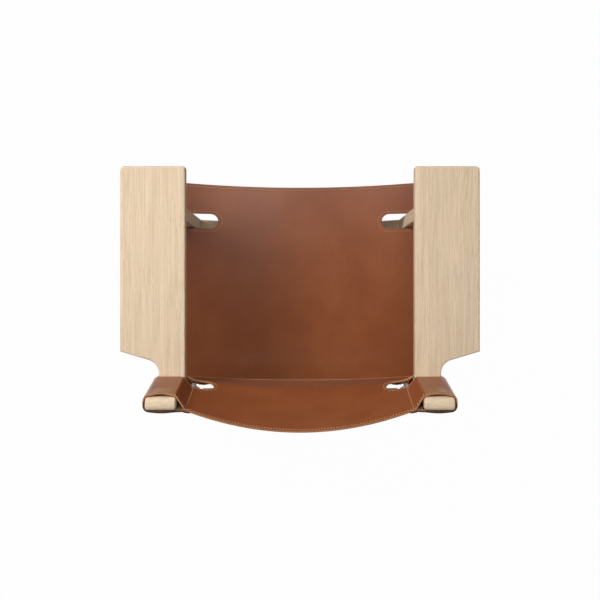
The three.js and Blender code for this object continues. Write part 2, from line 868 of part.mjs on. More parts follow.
function chapeSolid(place, frame) {
  const layer = chape.thickness + fit;
  const lift = new THREE.Vector2(0, layer);
  const far = place.surface(place.near.x - chape.length);
  const middle = place.surface(place.near.x - chape.length / 2);
  const upperNear = place.near.clone().add(lift);
  const upperFar = place.surface(place.near.x - chape.upperLength).add(lift);
  const under = touchAngle(place.near, place.heel, chapeRound, 1);
  const over = touchAngle(upperNear, place.heel, chapeRound, -1);
  const path = [
    far,
    middle,
    place.near,
    ...arc(place.heel, chapeRound, under, over + 2 * Math.PI, 2 * arcSteps),
    upperNear,
    upperFar,
  ];
  const plain = band(path, chape.thickness, () => strap.width / 2);
  const slot = block(
    [-chape.slotBack, -chape.slotWidth / 2, -chapeRound - overrun],
    [chapeRound + overrun, chape.slotWidth / 2, chapeRound + overrun],
  ).applyMatrix4(frame.matrix);
  return cut(plain, slot);
}

function strapSolid(place, frame) {
  const onChape = 2 * chape.thickness + fit + strap.thickness / 2;
  const tail = place.near.clone().add(new THREE.Vector2(0, onChape));
  const end = place.surface(place.near.x - strap.tail + chape.neck);
  const points = [
    place.flapOuter,
    place.flapOuter.clone().lerp(place.flapInner, 1 / 2),
    place.flapInner,
    frame.point(buckle.pitch + barHalf + strapUnder, -strapUnder),
    frame.point(buckle.pitch - buckle.wire, -strapUnder),
    frame.point(hole.length - hole.start, -barHalf),
    frame.point(barHalf, strapOver),
    frame.point(-barHalf, strapOver),
    tail,
    end.add(new THREE.Vector2(0, onChape)),
  ];
  const path = smoothPath(points);
  const last = path[path.length - 1];
  const halfWidthAt = (index) => {
    const left = path[index].distanceTo(last);
    const widthShare = THREE.MathUtils.lerp(tipWidthShare, 1, Math.min(1, left / strap.tipTaper));
    return (strap.width / 2) * widthShare;
  };
  const plain = band(path, strap.thickness, halfWidthAt);
  const slot = block(
    [hole.start, -hole.width / 2, -strapUnder - overrun],
    [hole.start + hole.length, hole.width / 2, strapOver + overrun],
  ).applyMatrix4(frame.matrix);
  return cut(plain, slot);
}

function closure(name, place) {
  const tilt = place.far.clone().sub(place.heel).angle();
  const frame = buckleFrame(place.heel, tilt);
  const group = new THREE.Group();
  const label = (kind) => name.replace("KIND", kind);
  group.add(
    piece(label("strap"), strapSolid(place, frame), cowhide()),
    piece(label("chape"), chapeSolid(place, frame), cowhide()),
    piece(label("buckle"), buckleSolid(frame.matrix), brass()),
    piece(label("prong"), prongSolid(frame.matrix), brass()),
  );
  return group;
}

// Under the seat, the strap comes from the flap inwards of the rail.
function seatPlace() {
  const clear = fit + chape.thickness / 2;
  const surface = (x) => new THREE.Vector2(x, leather.thickness / 2 - sagAt(x) + clear);
  const flapSurface = leather.thickness / 2 - flapZ + fit + strap.thickness / 2;
  const flapInner = new THREE.Vector2(flapEndX - overrun, flapSurface);
  const flapOuter = new THREE.Vector2(flapEndX + strap.onFlap, flapSurface);
  const heelX = flapEndX - 2 * buckle.pitch - overrun;
  const near = surface(heelX - chape.neck);
  const start = near.clone().add(new THREE.Vector2(0, chape.thickness / 2));
  const share = (heelX - near.x) / (flapInner.x - near.x);
  const heel = start.clone().lerp(flapInner, share);
  return { surface, near, heel, far: flapInner, flapInner, flapOuter };
}

// Behind the back, the strap comes from the tab and lies close to the sheet.
function backPlace(z) {
  const base = backLineAt(z).y;
  const half = strap.width / 2;
  // The sheet twists, so a flat strap lies on whichever of its two long edges meets it first.
  const furthest = (x) => Math.max(backAt(z - half, x), backAt(z + half, x));
  const rear = (x) => furthest(x) - base + leather.thickness / 2 + backLift;
  const clear = fit + chape.thickness / 2;
  const surface = (x) => new THREE.Vector2(x, rear(x) + clear);
  const onFlap = flapOffset + fit + strap.thickness / 2;
  const flapEnd = clearHalf - back.flapInset;
  const flapInner = new THREE.Vector2(flapEnd - overrun, rear(flapEnd) + onFlap);
  const flapOuterX = clearHalf - back.joinInset - 2 * strap.thickness;
  const flapOuter = new THREE.Vector2(flapOuterX, rear(flapOuterX) + onFlap);
  const heelX = flapEnd - 2 * buckle.pitch;
  const near = surface(heelX - chape.neck);
  const heel = new THREE.Vector2(heelX, rear(heelX) + chapeRound + clear);
  const farX = heelX + buckle.pitch;
  const far = new THREE.Vector2(farX, rear(farX) + strapUnder + strap.thickness / 2 + fit);
  return { surface, near, heel, far, flapInner, flapOuter };
}

// Assembly

function framePieces(side) {
  const group = new THREE.Group();
  const named = (name, geometry, material) => group.add(piece(`${name}_${side}`, geometry, material));
  named("armrest", armrestSolid(), oak());
  named("front_leg", frontLegSolid(), oak());
  named("rear_leg", rearLegSolid(), oak());
  named("seat_rail", railSolid(), oak());
  armDowelEnds.forEach((ends, index) =>
    named(`armrest_dowel_${["inner", "outer"][index]}`, dowelRod(...ends), beech()),
  );
  named("armrest_dowel_rear", dowelRod(...neckDowelEnds), beech());
  named("rail_dowel_front", dowelRod(...crossDowelEnds), beech());
  named("rail_dowel_rear", dowelRod(...railDowelEnds.map(seatPoint)), beech());
  named("front_glide", glideAt(legMiddleY), nylon());
  named("rear_glide", glideAt(rearFootY), nylon());
  return group;
}

function seatClosures(side) {
  const group = seatGroup();
  const tabFront = alongSeat(frontLeg.frontY, 0);
  const tabRear = alongSeat(frontLeg.frontY + frontLeg.thickness, 0);
  const places = {
    front: tabFront / 2,
    middle: THREE.MathUtils.lerp(tabRear, seatRearEdge, closureShares.middle),
    rear: THREE.MathUtils.lerp(tabRear, seatRearEdge, closureShares.rear),
  };
  for (const [position, along] of Object.entries(places)) {
    const set = closure(`seat_KIND_${position}_${side}`, seatPlace());
    set.position.set(0, along, 0);
    set.rotation.x = -Math.PI / 2;
    group.add(set);
  }
  return group;
}

function backClosure(side) {
  const z = slotBottomZ - back.tabHeight / 2;
  const set = closure(`back_KIND_${side}`, backPlace(z));
  set.position.set(0, backLineAt(z).y, z);
  return set;
}

const chair = new THREE.Group();
for (const [side, direction] of [["left", 1], ["right", -1]]) {
  const half = new THREE.Group();
  half.scale.x = direction;
  half.add(framePieces(side), seatClosures(side), backClosure(side));
  chair.add(half);
}
chair.add(
  piece("front_stretcher", frontStretcherSolid(), oak()),
  piece("rear_stretcher", rearStretcherSolid(), oak()),
  piece("seat_sling", seatSling(), cowhide()),
  piece("back_sling", backSling(), cowhide()),
);

export default chair;
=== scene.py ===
"""The looks of a leather sling lounge chair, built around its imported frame.

Sizes are in millimetres and turn to metres where a mesh is made. The chair's front faces -Y, the
sitter's left is +X and the floor is at height 0.
"""

import logging
import math
from collections.abc import Callable, Iterable, Mapping, Sequence
from dataclasses import dataclass, field
from enum import Enum, IntEnum

import bpy
import numpy as np
from mathutils import Matrix, Vector
from mathutils.geometry import delaunay_2d_cdt


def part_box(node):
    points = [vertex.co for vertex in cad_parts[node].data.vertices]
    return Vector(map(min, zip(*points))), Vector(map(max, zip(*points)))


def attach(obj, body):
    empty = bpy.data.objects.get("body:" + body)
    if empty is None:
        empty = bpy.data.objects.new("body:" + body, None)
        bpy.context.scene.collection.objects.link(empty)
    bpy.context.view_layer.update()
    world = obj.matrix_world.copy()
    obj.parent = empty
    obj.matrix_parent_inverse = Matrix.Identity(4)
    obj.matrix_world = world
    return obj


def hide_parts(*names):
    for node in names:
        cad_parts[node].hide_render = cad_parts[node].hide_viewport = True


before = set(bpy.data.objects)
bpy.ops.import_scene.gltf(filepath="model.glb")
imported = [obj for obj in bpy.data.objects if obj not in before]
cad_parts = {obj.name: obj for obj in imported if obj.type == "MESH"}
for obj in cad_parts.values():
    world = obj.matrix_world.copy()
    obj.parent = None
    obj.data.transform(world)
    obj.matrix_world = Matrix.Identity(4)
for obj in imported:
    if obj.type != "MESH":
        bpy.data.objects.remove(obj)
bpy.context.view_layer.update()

log = logging.getLogger("chair")
MM = 0.001
BODY = "chair"

Points = np.ndarray
Line = Callable[[Points], Points]
OnCut = Callable[[float, float], tuple[float, float]]
Tree = bpy.types.NodeTree
Socket = bpy.types.NodeSocket
Table = Mapping[str | int, object]

SOFT = {"interpolation_type": "SMOOTHSTEP"}  # no hard start or end where one range turns into another
RELIEF = 0.5  # how strongly every relief shows
WHITE = "#ffffff"
MIDDLE = (0.3, 0.7)  # most values of a cloudy pattern lie between these
TINY = 1e-9  # a measure that counts as nothing
SAME = 1e-6  # millimetres between two points that count as one


# Colours and nodes


def linear(code: str) -> tuple[float, float, float, float]:
    """Turns a colour written as sRGB hex into linear values.

    Args:
        code: six hex digits after a hash sign.

    Returns:
        Red, green, blue and an alpha of 1.
    """
    parts = [int(code[i : i + 2], 16) / 255 for i in (1, 3, 5)]
    red, green, blue = (c / 12.92 if c <= 0.04045 else ((c + 0.055) / 1.055) ** 2.4 for c in parts)
    return (red, green, blue, 1.0)


def add_node(tree: Tree, kind: str, inputs: Table | None = None, **settings: object) -> bpy.types.Node:
    """Adds one node to a tree, with its settings and links.

    Args:
        tree: the node tree that gets it.
        kind: its type's name.
        inputs: its input sockets by name or number, each with a fixed value, a colour written as
            hex, or the socket that feeds it.
        settings: properties of the node itself.

    Returns:
        The new node.
    """
    node = tree.nodes.new(kind)
    for name, value in settings.items():
        setattr(node, name, value)
    for name, value in (inputs or {}).items():
        if isinstance(value, Socket):
            tree.links.new(value, node.inputs[name])
        else:
            node.inputs[name].default_value = linear(value) if isinstance(value, str) else value
    return node


def blank_material(name: str) -> bpy.types.Material:
    """Starts a material that has no nodes yet.

    Args:
        name: what it is called.

    Returns:
        The material.
    """
    made = bpy.data.materials.new(name)
    made.use_nodes = True
    made.node_tree.nodes.clear()
    return made


@dataclass(frozen=True)
class Span:
    """A range of a pattern's values, and the range of tones, shares or sizes that it turns into."""

    start: float
    end: float
    low: float = 0.0
    high: float = 1.0

    def of(self, values: Socket) -> Table:
        """Gives the inputs of a node that turns the one range of some values into the other."""
        ends = {"From Min": self.start, "From Max": self.end, "To Min": self.low, "To Max": self.high}
        return {"Value": values} | ends


@dataclass(frozen=True)
class Clouds:
    """A pattern of cloudy values about a half, with clouds of a real size."""

    size: Sequence[float]  # across one cloud along each axis of the piece
    detail: float = 3.0  # how many layers of finer clouds lie on it
    turn: tuple[float, float, float] = (0.0, 0.0, 0.0)  # of the axes, in radians
    span: Span | None = None
    crisp: float = 0.58  # how strong the finer clouds are

    def add(self, tree: Tree, place: Socket) -> Socket:
        """Adds the pattern to a material.

        Args:
            tree: the material's nodes.
            place: the coordinates that it follows.

        Returns:
            Its values, softly brought to its span if it has one.
        """
        turned = add_node(tree, "ShaderNodeMapping", {"Vector": place, "Rotation": self.turn})
        scale = [1 / (size * MM) for size in self.size]
        drawn = add_node(tree, "ShaderNodeMapping", {"Vector": turned.outputs[0], "Scale": scale})
        noise = {"Vector": drawn.outputs[0], "Scale": 1.0, "Detail": self.detail, "Roughness": self.crisp}
        clouds = add_node(tree, "ShaderNodeTexNoise", noise).outputs["Fac"]
        if self.span is None:
            return clouds
        return add_node(tree, "ShaderNodeMapRange", self.span.of(clouds), **SOFT).outputs[0]


class Grain(Enum):
    """The direction in which the fibres of a board run."""

    ACROSS = 0
    ALONG = 1
    UPRIGHT = 2


# Finishes


@dataclass(frozen=True)
class SoapedOak:
    """Solid oak, planed, sanded and soaped: a matt pale cream with fine straight grain.

    Growth rings give soft stripes that wander a little, the pores short thin dark dashes, and the
    soap takes away nearly all gloss. Each mark has a width and a length along the grain.
    """

    grain: Grain
    lean: float = 0.0  # degrees by which the board leans about the X axis
    seed: float = 0.0
    shift: tuple[float, float, float] = (1.0, 0.7, 1.3)  # of the figure for a seed of 1, in metres
    cream: str = "#e4ccad"
    rosy: str = "#e7cfb1"
    pore_brown: str = "#ad875c"
    ring: tuple[float, float] = (9.0, 700.0)
    # Fibres are far finer. They are drawn this broad, or they would blur into one tone.
    fibre: tuple[float, float] = (2.2, 190.0)
    patch: tuple[float, float] = (30.0, 220.0)
    # Real pores are 0.3 mm wide. They are drawn wider, or none would show from the camera.
    pore: tuple[float, float] = (1.5, 26.0)
    drift: tuple[float, float] = (120.0, 380.0)  # the waves in which the rings wander
    wander: float = 9.0  # how far they stray to the side
    ring_tone: Span = Span(*MIDDLE, 0.96, 1.035)
    fibre_tone: Span = Span(0.32, 0.68, 0.91, 1.08)
    patch_share: Span = Span(0.38, 0.62)
    pore_share: Span = Span(0.58, 0.76, 0.0, 0.3)
    roughness: Span = Span(*MIDDLE, 0.6, 0.72)
    pore_depth: float = 0.2
    ior: float = 1.45
    gloss: float = 0.15
    # In an upright board the rings lie along its broad face, so its end grain shows long lines.
    flat_sawn: float = 5.0

    def figure(self, mark: tuple[float, float], span: Span, detail: float = 3.0) -> Clouds:
        """Gives one layer of the figure, drawn out along the grain.

        Args:
            mark: the width and the length of one of its marks.
            span: the range that its values are brought to.
            detail: how many layers of finer marks lie on it.

        Returns:
            The layer.
        """
        width, length = mark
        size = [width, width, width]
        if self.grain is Grain.UPRIGHT:
            size[Grain.ACROSS.value] *= self.flat_sawn
        size[self.grain.value] = length
        return Clouds(size, detail, (math.radians(self.lean), 0, 0), span)

    def wandering(self, tree: Tree) -> Socket:
        """Pushes the board's coordinates to and fro, so that the rings aren't dead straight.

        Args:
            tree: the material's nodes.

        Returns:
            The new coordinates.
        """
        place = add_node(tree, "ShaderNodeTexCoord").outputs["Object"]
        offset = [self.seed * share for share in self.shift]
        own = add_node(tree, "ShaderNodeVectorMath", {0: place, 1: offset}).outputs[0]
        reach = self.wander * MM
        push = self.figure(self.drift, Span(0, 1, -reach, reach), 1.0).add(tree, own)
        across = [1.0, 1.0, 1.0]
        across[self.grain.value] = 0.0
        side = add_node(tree, "ShaderNodeVectorMath", {0: across, "Scale": push}, operation="SCALE")
        return add_node(tree, "ShaderNodeVectorMath", {0: own, 1: side.outputs[0]}).outputs[0]

    def material(self) -> bpy.types.Material:
        """Builds the wood for a board whose fibres run in this direction.

        Returns:
            The finished material.
        """
        made = blank_material(f"soaped oak {self.grain.name.lower()} {self.seed:g}")
        tree = made.node_tree
        place = self.wandering(tree)
        rings = self.figure(self.ring, self.ring_tone).add(tree, place)
        fibres = self.figure(self.fibre, self.fibre_tone).add(tree, place)
        patches = self.figure(self.patch, self.patch_share, 2.0).add(tree, place)
        pores = self.figure(self.pore, self.pore_share, 1.0).add(tree, place)
        tone = add_node(tree, "ShaderNodeMath", {0: rings, 1: fibres}, operation="MULTIPLY").outputs[0]
        blend = {0: patches, 6: self.cream, 7: self.rosy}
        ground = add_node(tree, "ShaderNodeMix", blend, data_type="RGBA").outputs[2]
        body = add_node(tree, "ShaderNodeVectorMath", {0: ground, "Scale": tone}, operation="SCALE")
        blend = {0: pores, 6: body.outputs[0], 7: self.pore_brown}
        relief = {"Height": pores, "Strength": RELIEF, "Distance": self.pore_depth * MM}
        inputs = {
            "Base Color": add_node(tree, "ShaderNodeMix", blend, data_type="RGBA").outputs[2],
            "Roughness": self.figure(self.fibre, self.roughness).add(tree, place),
            "Normal": add_node(tree, "ShaderNodeBump", relief, invert=True).outputs[0],
            "IOR": self.ior,
            "Specular IOR Level": self.gloss,
        }
        shader = add_node(tree, "ShaderNodeBsdfPrincipled", inputs)
        add_node(tree, "ShaderNodeOutputMaterial", {"Surface": shader.outputs[0]})
        return made


@dataclass(frozen=True)
class Mottled:
    """A surface with slow clouds and small flecks of tone over a fine relief.

    The hides, the thread, the dowels, the glides and the brass share this recipe, each with
    colours, sizes and a gloss of its own.
    """

    name: str
    light: str
    dark: str
    cloud: float  # across one cloud of tone
    fleck: float  # across one fleck
    pore: float  # from pore to pore of the relief
    relief: float
    rough: tuple[float, float]
    flecked: float = 0.35  # how much of the tone the flecks give
    metallic: float = 0.0
    ior: float = 1.5
    sheen: float = 0.0
    gloss: float = 0.5  # how much it mirrors, where a half is usual
    squeeze: tuple[float, float, float] = (1, 1, 1)  # under 1 where the pattern is drawn out
    wrinkle: float = 0.0  # from one growth wrinkle of a hide to the next
    wrinkle_length: float = 12.0  # as a share of that
    wrinkle_turn: float = 0.25  # radians off the line from front to back
    wrinkled_patch: float = 140.0  # across one patch that has wrinkles
    # how dark the painted shade in the creases is, as a share of the hide's colour
    crease_shade: float = 0.9
    crease_share: Span = Span(0.42, 0.75)
    patch_share: Span = Span(0.47, 0.62)
    light_share: Span = Span(0.32, 0.68)

    def wrinkled(self, tree: Tree, place: Socket, colour: Socket) -> Socket:
        """Adds the hide's faint growth wrinkles here and there, as painted shade in their creases.

        Args:
            tree: the material's nodes.
            place: the coordinates that they follow.
            colour: the hide's colour.

        Returns:
            The colour, darkened by the painted shade in the creases.
        """
        length = self.wrinkle * self.wrinkle_length
        folds = Clouds((self.wrinkle, length, length), 1.0, (0, 0, self.wrinkle_turn), self.crease_share)
        where = Clouds([self.wrinkled_patch] * 3, 1.0, span=self.patch_share)
        both = {0: folds.add(tree, place), 1: where.add(tree, place)}
        creases = add_node(tree, "ShaderNodeMath", both, operation="MULTIPLY").outputs[0]
        # Painted shade: the colour darkens along the creases.
        darker = Span(0, 1, 1, self.crease_shade).of(creases)
        tone = add_node(tree, "ShaderNodeMapRange", darker, **SOFT).outputs[0]
        shade = {0: colour, "Scale": tone}
        return add_node(tree, "ShaderNodeVectorMath", shade, operation="SCALE").outputs[0]

    def material(self) -> bpy.types.Material:
        """Builds the material.

        Returns:
            The finished material.
        """
        made = blank_material(self.name)
        tree = made.node_tree
        place = add_node(tree, "ShaderNodeTexCoord").outputs["Object"]
        cloud, fleck = ([size / share for share in self.squeeze] for size in (self.cloud, self.fleck))
        mix = {0: self.flecked, 2: Clouds(cloud).add(tree, place), 3: Clouds(fleck).add(tree, place)}
        mixed = add_node(tree, "ShaderNodeMix", mix).outputs[0]
        share = add_node(tree, "ShaderNodeMapRange", self.light_share.of(mixed), **SOFT).outputs[0]
        blend = {0: share, 6: self.dark, 7: self.light}
        colour = add_node(tree, "ShaderNodeMix", blend, data_type="RGBA").outputs[2]
        if self.wrinkle:
            colour = self.wrinkled(tree, place, colour)
        cells = add_node(tree, "ShaderNodeTexVoronoi", {"Vector": place, "Scale": 1 / (self.pore * MM)})
        relief = {"Height": cells.outputs["Distance"], "Strength": RELIEF, "Distance": self.relief * MM}
        inputs = {
            "Base Color": colour,
            "Roughness": Clouds(cloud, span=Span(*MIDDLE, *self.rough)).add(tree, place),
            "Normal": add_node(tree, "ShaderNodeBump", relief).outputs[0],
            "Metallic": self.metallic,
            "IOR": self.ior,
            "Sheen Weight": self.sheen,
            "Specular IOR Level": self.gloss,
        }
        shader = add_node(tree, "ShaderNodeBsdfPrincipled", inputs)
        add_node(tree, "ShaderNodeOutputMaterial", {"Surface": shader.outputs[0]})
        return made


# Vegetable-tanned cowhide, waxed and rubbed: warm brown, nearly even, with a broad silky sheen.
SADDLE_LEATHER = Mottled(
    "saddle leather", "#94532e", "#894a28", 130, 16, 1.6, 0.04, (0.28, 0.31), 0.12, gloss=0.38, wrinkle=3.2
)
# The fibrous inner side of the same hide: paler and dull, with a short nap.
FLESH_SIDE = Mottled(
    "flesh side of the hide", "#a5795a", "#8a5f41", 40, 3, 0.9, 0.3, (0.85, 0.95), 0.45, sheen=0.2
)
# The grain half of the cut edge, rubbed smooth: raw tan with thin darker layers.
RAW_EDGE = Mottled("cut edge of the hide", "#c58a55", "#a26a3b", 9, 1.4, 0.9, 0.12, (0.45, 0.6), 0.5)
# Painted shade on the cut edge: a dark copy of the raw edge for its lower half and for edges in shadow.
PAINTED_SHADE_EDGE = Mottled("painted shade on the cut edge", "#64391c", "#472511", 9, 1.4, 0.9, 0.12, (0.45, 0.6), 0.5)
# The straps come from a firmer part of the hide: a little darker and closer.
STRAP_LEATHER = Mottled("strap leather", "#7c4529", "#6a3a22", 45, 7, 0.9, 0.06, (0.5, 0.6), 0.3, gloss=0.2)
# Waxed linen thread in a pale natural tan.
LINEN_THREAD = Mottled("waxed linen thread", "#f5bf86", "#dd9f62", 6, 0.9, 0.45, 0.06, (0.55, 0.7), sheen=0.1)
# Painted shade for the needle's holes: near-black discs that stand in for the shade inside each hole.
HOLE_SHADE = Mottled("pricked hole", "#2a140a", "#1a0c05", 4, 0.6, 0.5, 0.05, (0.7, 0.85))
# Cast brass, tumbled and brushed, gone a little dull.
CAST_BRASS = Mottled("cast brass", "#d9b265", "#b98f45", 9, 1.6, 0.5, 0.02, (0.28, 0.42), metallic=1.0)
# Turned beech pins, pinkish and even.
BEECH = Mottled("turned beech", "#d9b78e", "#c39c70", 14, 1.4, 0.6, 0.03, (0.6, 0.72), squeeze=(0.15, 1, 1))
# Moulded nylon, dark, with the faint orange peel of its mould.
NYLON = Mottled("moulded nylon", "#35322f", "#252321", 8, 1.0, 0.7, 0.03, (0.45, 0.6), ior=1.53)


@dataclass(frozen=True)
class Palette:
    """The finishes that several pieces share, each built once."""

    saddle: bpy.types.Material
    flesh: bpy.types.Material
    edge: bpy.types.Material
    # painted shade on the cut edges, a dark copy of the raw edge
    painted_shade: bpy.types.Material
    strap: bpy.types.Material
    thread: bpy.types.Material
    # painted shade for the needle holes
    shaded: bpy.types.Material
    brass: bpy.types.Material
    beech: bpy.types.Material
    nylon: bpy.types.Material

    @classmethod
    def mixed(cls) -> "Palette":
        """Builds the shared finishes."""
        hide = (SADDLE_LEATHER, FLESH_SIDE, RAW_EDGE, PAINTED_SHADE_EDGE, STRAP_LEATHER)
        return cls(*(one.material() for one in (*hide, LINEN_THREAD, HOLE_SHADE, CAST_BRASS, BEECH, NYLON)))

    @property
    def hide(self) -> tuple[bpy.types.Material, ...]:
        """Gives a sling's grain side, flesh side, raw cut edge and the painted shade on that edge."""
        return (self.saddle, self.flesh, self.edge, self.painted_shade)

    @property
    def sewn(self) -> tuple[bpy.types.Material, ...]:
        """Gives the thread and the painted shade of the needle holes of a row of stitches."""
        return (self.thread, self.shaded)

    @property
    def band(self) -> tuple[bpy.types.Material, ...]:
        """Gives a strap's two sides and its cut edge."""
        return (self.strap, self.strap, self.edge, self.edge)


# Lines and surfaces


def arc(centre: Sequence[float], radius: float, start: float, end: float, steps: int) -> Points:
    """Gives points on an arc, from one angle in degrees to another."""
    angles = np.radians(np.linspace(start, end, steps + 1))
    return np.stack([centre[0] + radius * np.cos(angles), centre[1] + radius * np.sin(angles)], axis=1)


def touch_angle(point: Points, centre: Sequence[float], radius: float, sign: int) -> float:
    """Gives the angle in degrees at which a line from a point touches a circle.

    Args:
        point: where the line starts.
        centre: the circle's middle.
        radius: its radius.
        sign: which of the two lines, as 1 or -1.

    Returns:
        The place on the circle, as its angle.
    """
    reach = np.asarray(point, float) - np.asarray(centre, float)
    turn = math.atan2(reach[1], reach[0]) % (2 * math.pi)
    return math.degrees(turn + sign * math.acos(radius / np.hypot(*reach)))


def straight(start: Sequence[float], end: Sequence[float], steps: int) -> Points:
    """Gives points on a straight line."""
    return np.linspace(start, end, steps + 1)


def bowed(start: Sequence[float], end: Sequence[float], steps: int, rise: float) -> Points:
    """Gives points on a line that bulges by a rise along the second axis."""
    return straight(start, end, steps) + np.outer(np.sin(np.linspace(0, math.pi, steps + 1)), (0, rise))


def run_of(line: Points) -> Points:
    """Gives the distance run along a line at each of its points."""
    return np.concatenate([[0.0], np.cumsum(np.linalg.norm(np.diff(line, axis=0), axis=1))])


def way_of(line: Points) -> Points:
    """Gives the direction along a line at each of its points."""
    step = np.gradient(line, axis=0)
    return step / np.maximum(np.linalg.norm(step, axis=1, keepdims=True), TINY)


def refine(line: Points, pitch: float, closed: bool = True) -> Points:
    """Adds points to a line so that none of its steps is longer than a pitch.

    Args:
        line: its points.
        pitch: the longest step.
        closed: whether its end joins its start.

    Returns:
        All its points.
    """
    ends = np.concatenate([line, line[:1]]) if closed else np.asarray(line)
    points = []
    for a, b in zip(ends, ends[1:]):
        count = max(1, math.ceil(float(np.linalg.norm(b - a)) / pitch))
        points += [a + (b - a) * k / count for k in range(count)]
    return np.array(points if closed else [*points, ends[-1]])


def outward(loop: Points) -> Points:
    """Gives the direction out of a loop.

    Args:
        loop: its points, anticlockwise.

    Returns:
        The direction at each of them.
    """
    step = np.roll(loop, -1, axis=0) - np.roll(loop, 1, axis=0)
    side = np.stack([step[:, 1], -step[:, 0]], axis=1)
    return side / np.maximum(np.linalg.norm(side, axis=1, keepdims=True), TINY)


def area_of(loop: Points) -> float:
    """Gives the area inside a loop."""
    x, y = loop[:, 0], loop[:, 1]
    return abs(float(np.sum(x * np.roll(y, -1) - np.roll(x, -1) * y))) / 2


def inside(points: Points, loops: Sequence[Points]) -> Points:
    """Says which points lie on a sheet with openings.

    Args:
        points: the points.
        loops: the sheet's outline and its openings.

    Returns:
        Whether each point lies inside the first loop and outside the others.
    """
    x, y = points[:, 0], points[:, 1]
    odd = np.zeros(len(points), bool)
    for loop in loops:
        for (ax, ay), (bx, by) in zip(loop, np.roll(loop, -1, axis=0)):
            if ay != by:
                odd ^= ((ay > y) != (by > y)) & (x < (bx - ax) * (y - ay) / (by - ay) + ax)
    return odd


def clearance(points: Points, loops: Sequence[Points], batch: int = 64) -> Points:
    """Says how far points are from loops.

    Args:
        points: the points.
        loops: the loops.
        batch: how many of the loops' points are measured at a time.

    Returns:
        Each point's distance to the nearest point of the loops.
    """
    spots = np.concatenate(loops)
    least = np.full(len(points), np.inf)
    for start in range(0, len(spots), batch):
        gaps = np.linalg.norm(points[:, None, :] - spots[None, start : start + batch, :], axis=2)
        least = np.minimum(least, gaps.min(axis=1))
    return least


def smooth(stops: Points, steps: int = 12) -> Points:
    """Runs a smooth line through stops, as a bent strip would lie.

    Args:
        stops: the places that it passes.
        steps: the number of steps from stop to stop.

    Returns:
        Its points.
    """
    first, last = 2 * stops[0] - stops[1], 2 * stops[-1] - stops[-2]
    padded = np.concatenate([[first], stops, [last]])
    line = []
    for p0, p1, p2, p3 in zip(padded, padded[1:], padded[2:], padded[3:]):
        d0, d1, d2 = (math.sqrt(float(np.linalg.norm(b - a))) for a, b in ((p0, p1), (p1, p2), (p2, p3)))
        t1 = ((p1 - p0) / d0 - (p2 - p0) / (d0 + d1) + (p2 - p1) / d1) * d1
        t2 = ((p2 - p1) / d1 - (p3 - p1) / (d1 + d2) + (p3 - p2) / d2) * d1
        for t in np.arange(steps) / steps:
            bend = (3 * (p2 - p1) - 2 * t1 - t2) * t**2 + (2 * (p1 - p2) + t1 + t2) * t**3
            line.append(p1 + t1 * t + bend)
    return np.array([*line, stops[-1]])


def moved(matrix: Matrix, points: Points) -> Points:
    """Moves an array of points by a matrix."""
    table = np.array(matrix)
    return np.asarray(points) @ table[:3, :3].T + table[:3, 3]


def joined(stretches: Sequence[tuple[Points, int]]) -> tuple[Points, Points]:
    """Joins stretches of a path that starts in the middle of the chair, and adds its mirror image.

    Args:
        stretches: each stretch's points, finely spaced, and how many of them make one step of
            the mesh.

    Returns:
        All points of the path, and the numbers of those that the mesh uses.
    """
    half = np.concatenate([points for points, _ in stretches])
    used = np.concatenate([np.arange(len(points)) % stride == 0 for points, stride in stretches])
    used[-1] = True
    fresh = np.concatenate([[True], np.linalg.norm(np.diff(half, axis=0), axis=1) > SAME])
    used[:-1] |= used[1:] & ~fresh[1:]
    half, used = half[fresh], used[fresh]
    mirrored = half[:0:-1] * np.array([-1, 1])
    return np.concatenate([mirrored, half]), np.flatnonzero(np.concatenate([used[:0:-1], used]))


class Surface:
    """A curved surface on which a flat cut of leather is laid."""

    def __init__(self, across: Sequence[float], rows: Sequence[Points]) -> None:
        """Takes the surface's rows of points.

        Args:
            across: the flat cut's second coordinate at each row.
            rows: for each row its points, all rows with the same number.
        """
        self.across, self.rows = np.asarray(across, float), np.asarray(rows, float)
        run = run_of(self.rows[len(self.rows) // 2])
        self.length = float(run[-1])
        self.along = run - self.length / 2
        step, rise = np.gradient(self.rows, axis=1), np.gradient(self.rows, axis=0)
        self.run = step / np.linalg.norm(step, axis=2, keepdims=True)
        facing = np.cross(self.run, rise)
        self.facing = facing / np.linalg.norm(facing, axis=2, keepdims=True)
        self.rise = np.cross(self.facing, self.run)

    def at(self, flat: Points, lift: float | Points = 0.0) -> tuple[Points, Points, Points, Points]:
        """Lays points of the flat cut on the surface.

        Args:
            flat: the points, as distances along and places across.
            lift: how far above the surface they are.

        Returns:
            Their places, and there the directions along, across and out of the surface.
        """
        flat = np.asarray(flat, float)
        u = np.clip(flat[:, 0], self.along[0], self.along[-1])
        v = np.clip(flat[:, 1], self.across[0], self.across[-1])
        i = np.clip(np.searchsorted(self.along, u) - 1, 0, len(self.along) - 2)
        k = np.clip(np.searchsorted(self.across, v) - 1, 0, len(self.across) - 2)
        p = ((u - self.along[i]) / (self.along[i + 1] - self.along[i]))[:, None]
        q = ((v - self.across[k]) / (self.across[k + 1] - self.across[k]))[:, None]

        def between(table: Points) -> Points:
            """Reads a table between its rows and columns.

            Args:
                table: a value for each of the grid's points.

            Returns:
                The value at each place.
            """
            low = table[k, i] * (1 - p) + table[k, i + 1] * p
            high = table[k + 1, i] * (1 - p) + table[k + 1, i + 1] * p
            return low * (1 - q) + high * q

        place, run, rise, facing = (between(t) for t in (self.rows, self.run, self.rise, self.facing))
        return place + facing * np.reshape(lift, (-1, 1)), run, rise, facing


# Meshes


def add_object(name: str, data: bpy.types.ID) -> bpy.types.Object:
    """Puts an object in the scene.

    Args:
        name: what it is called.
        data: its mesh, lamp or camera.

    Returns:
        The object.
    """
    made = bpy.data.objects.new(name, data)
    bpy.context.scene.collection.objects.link(made)
    return made


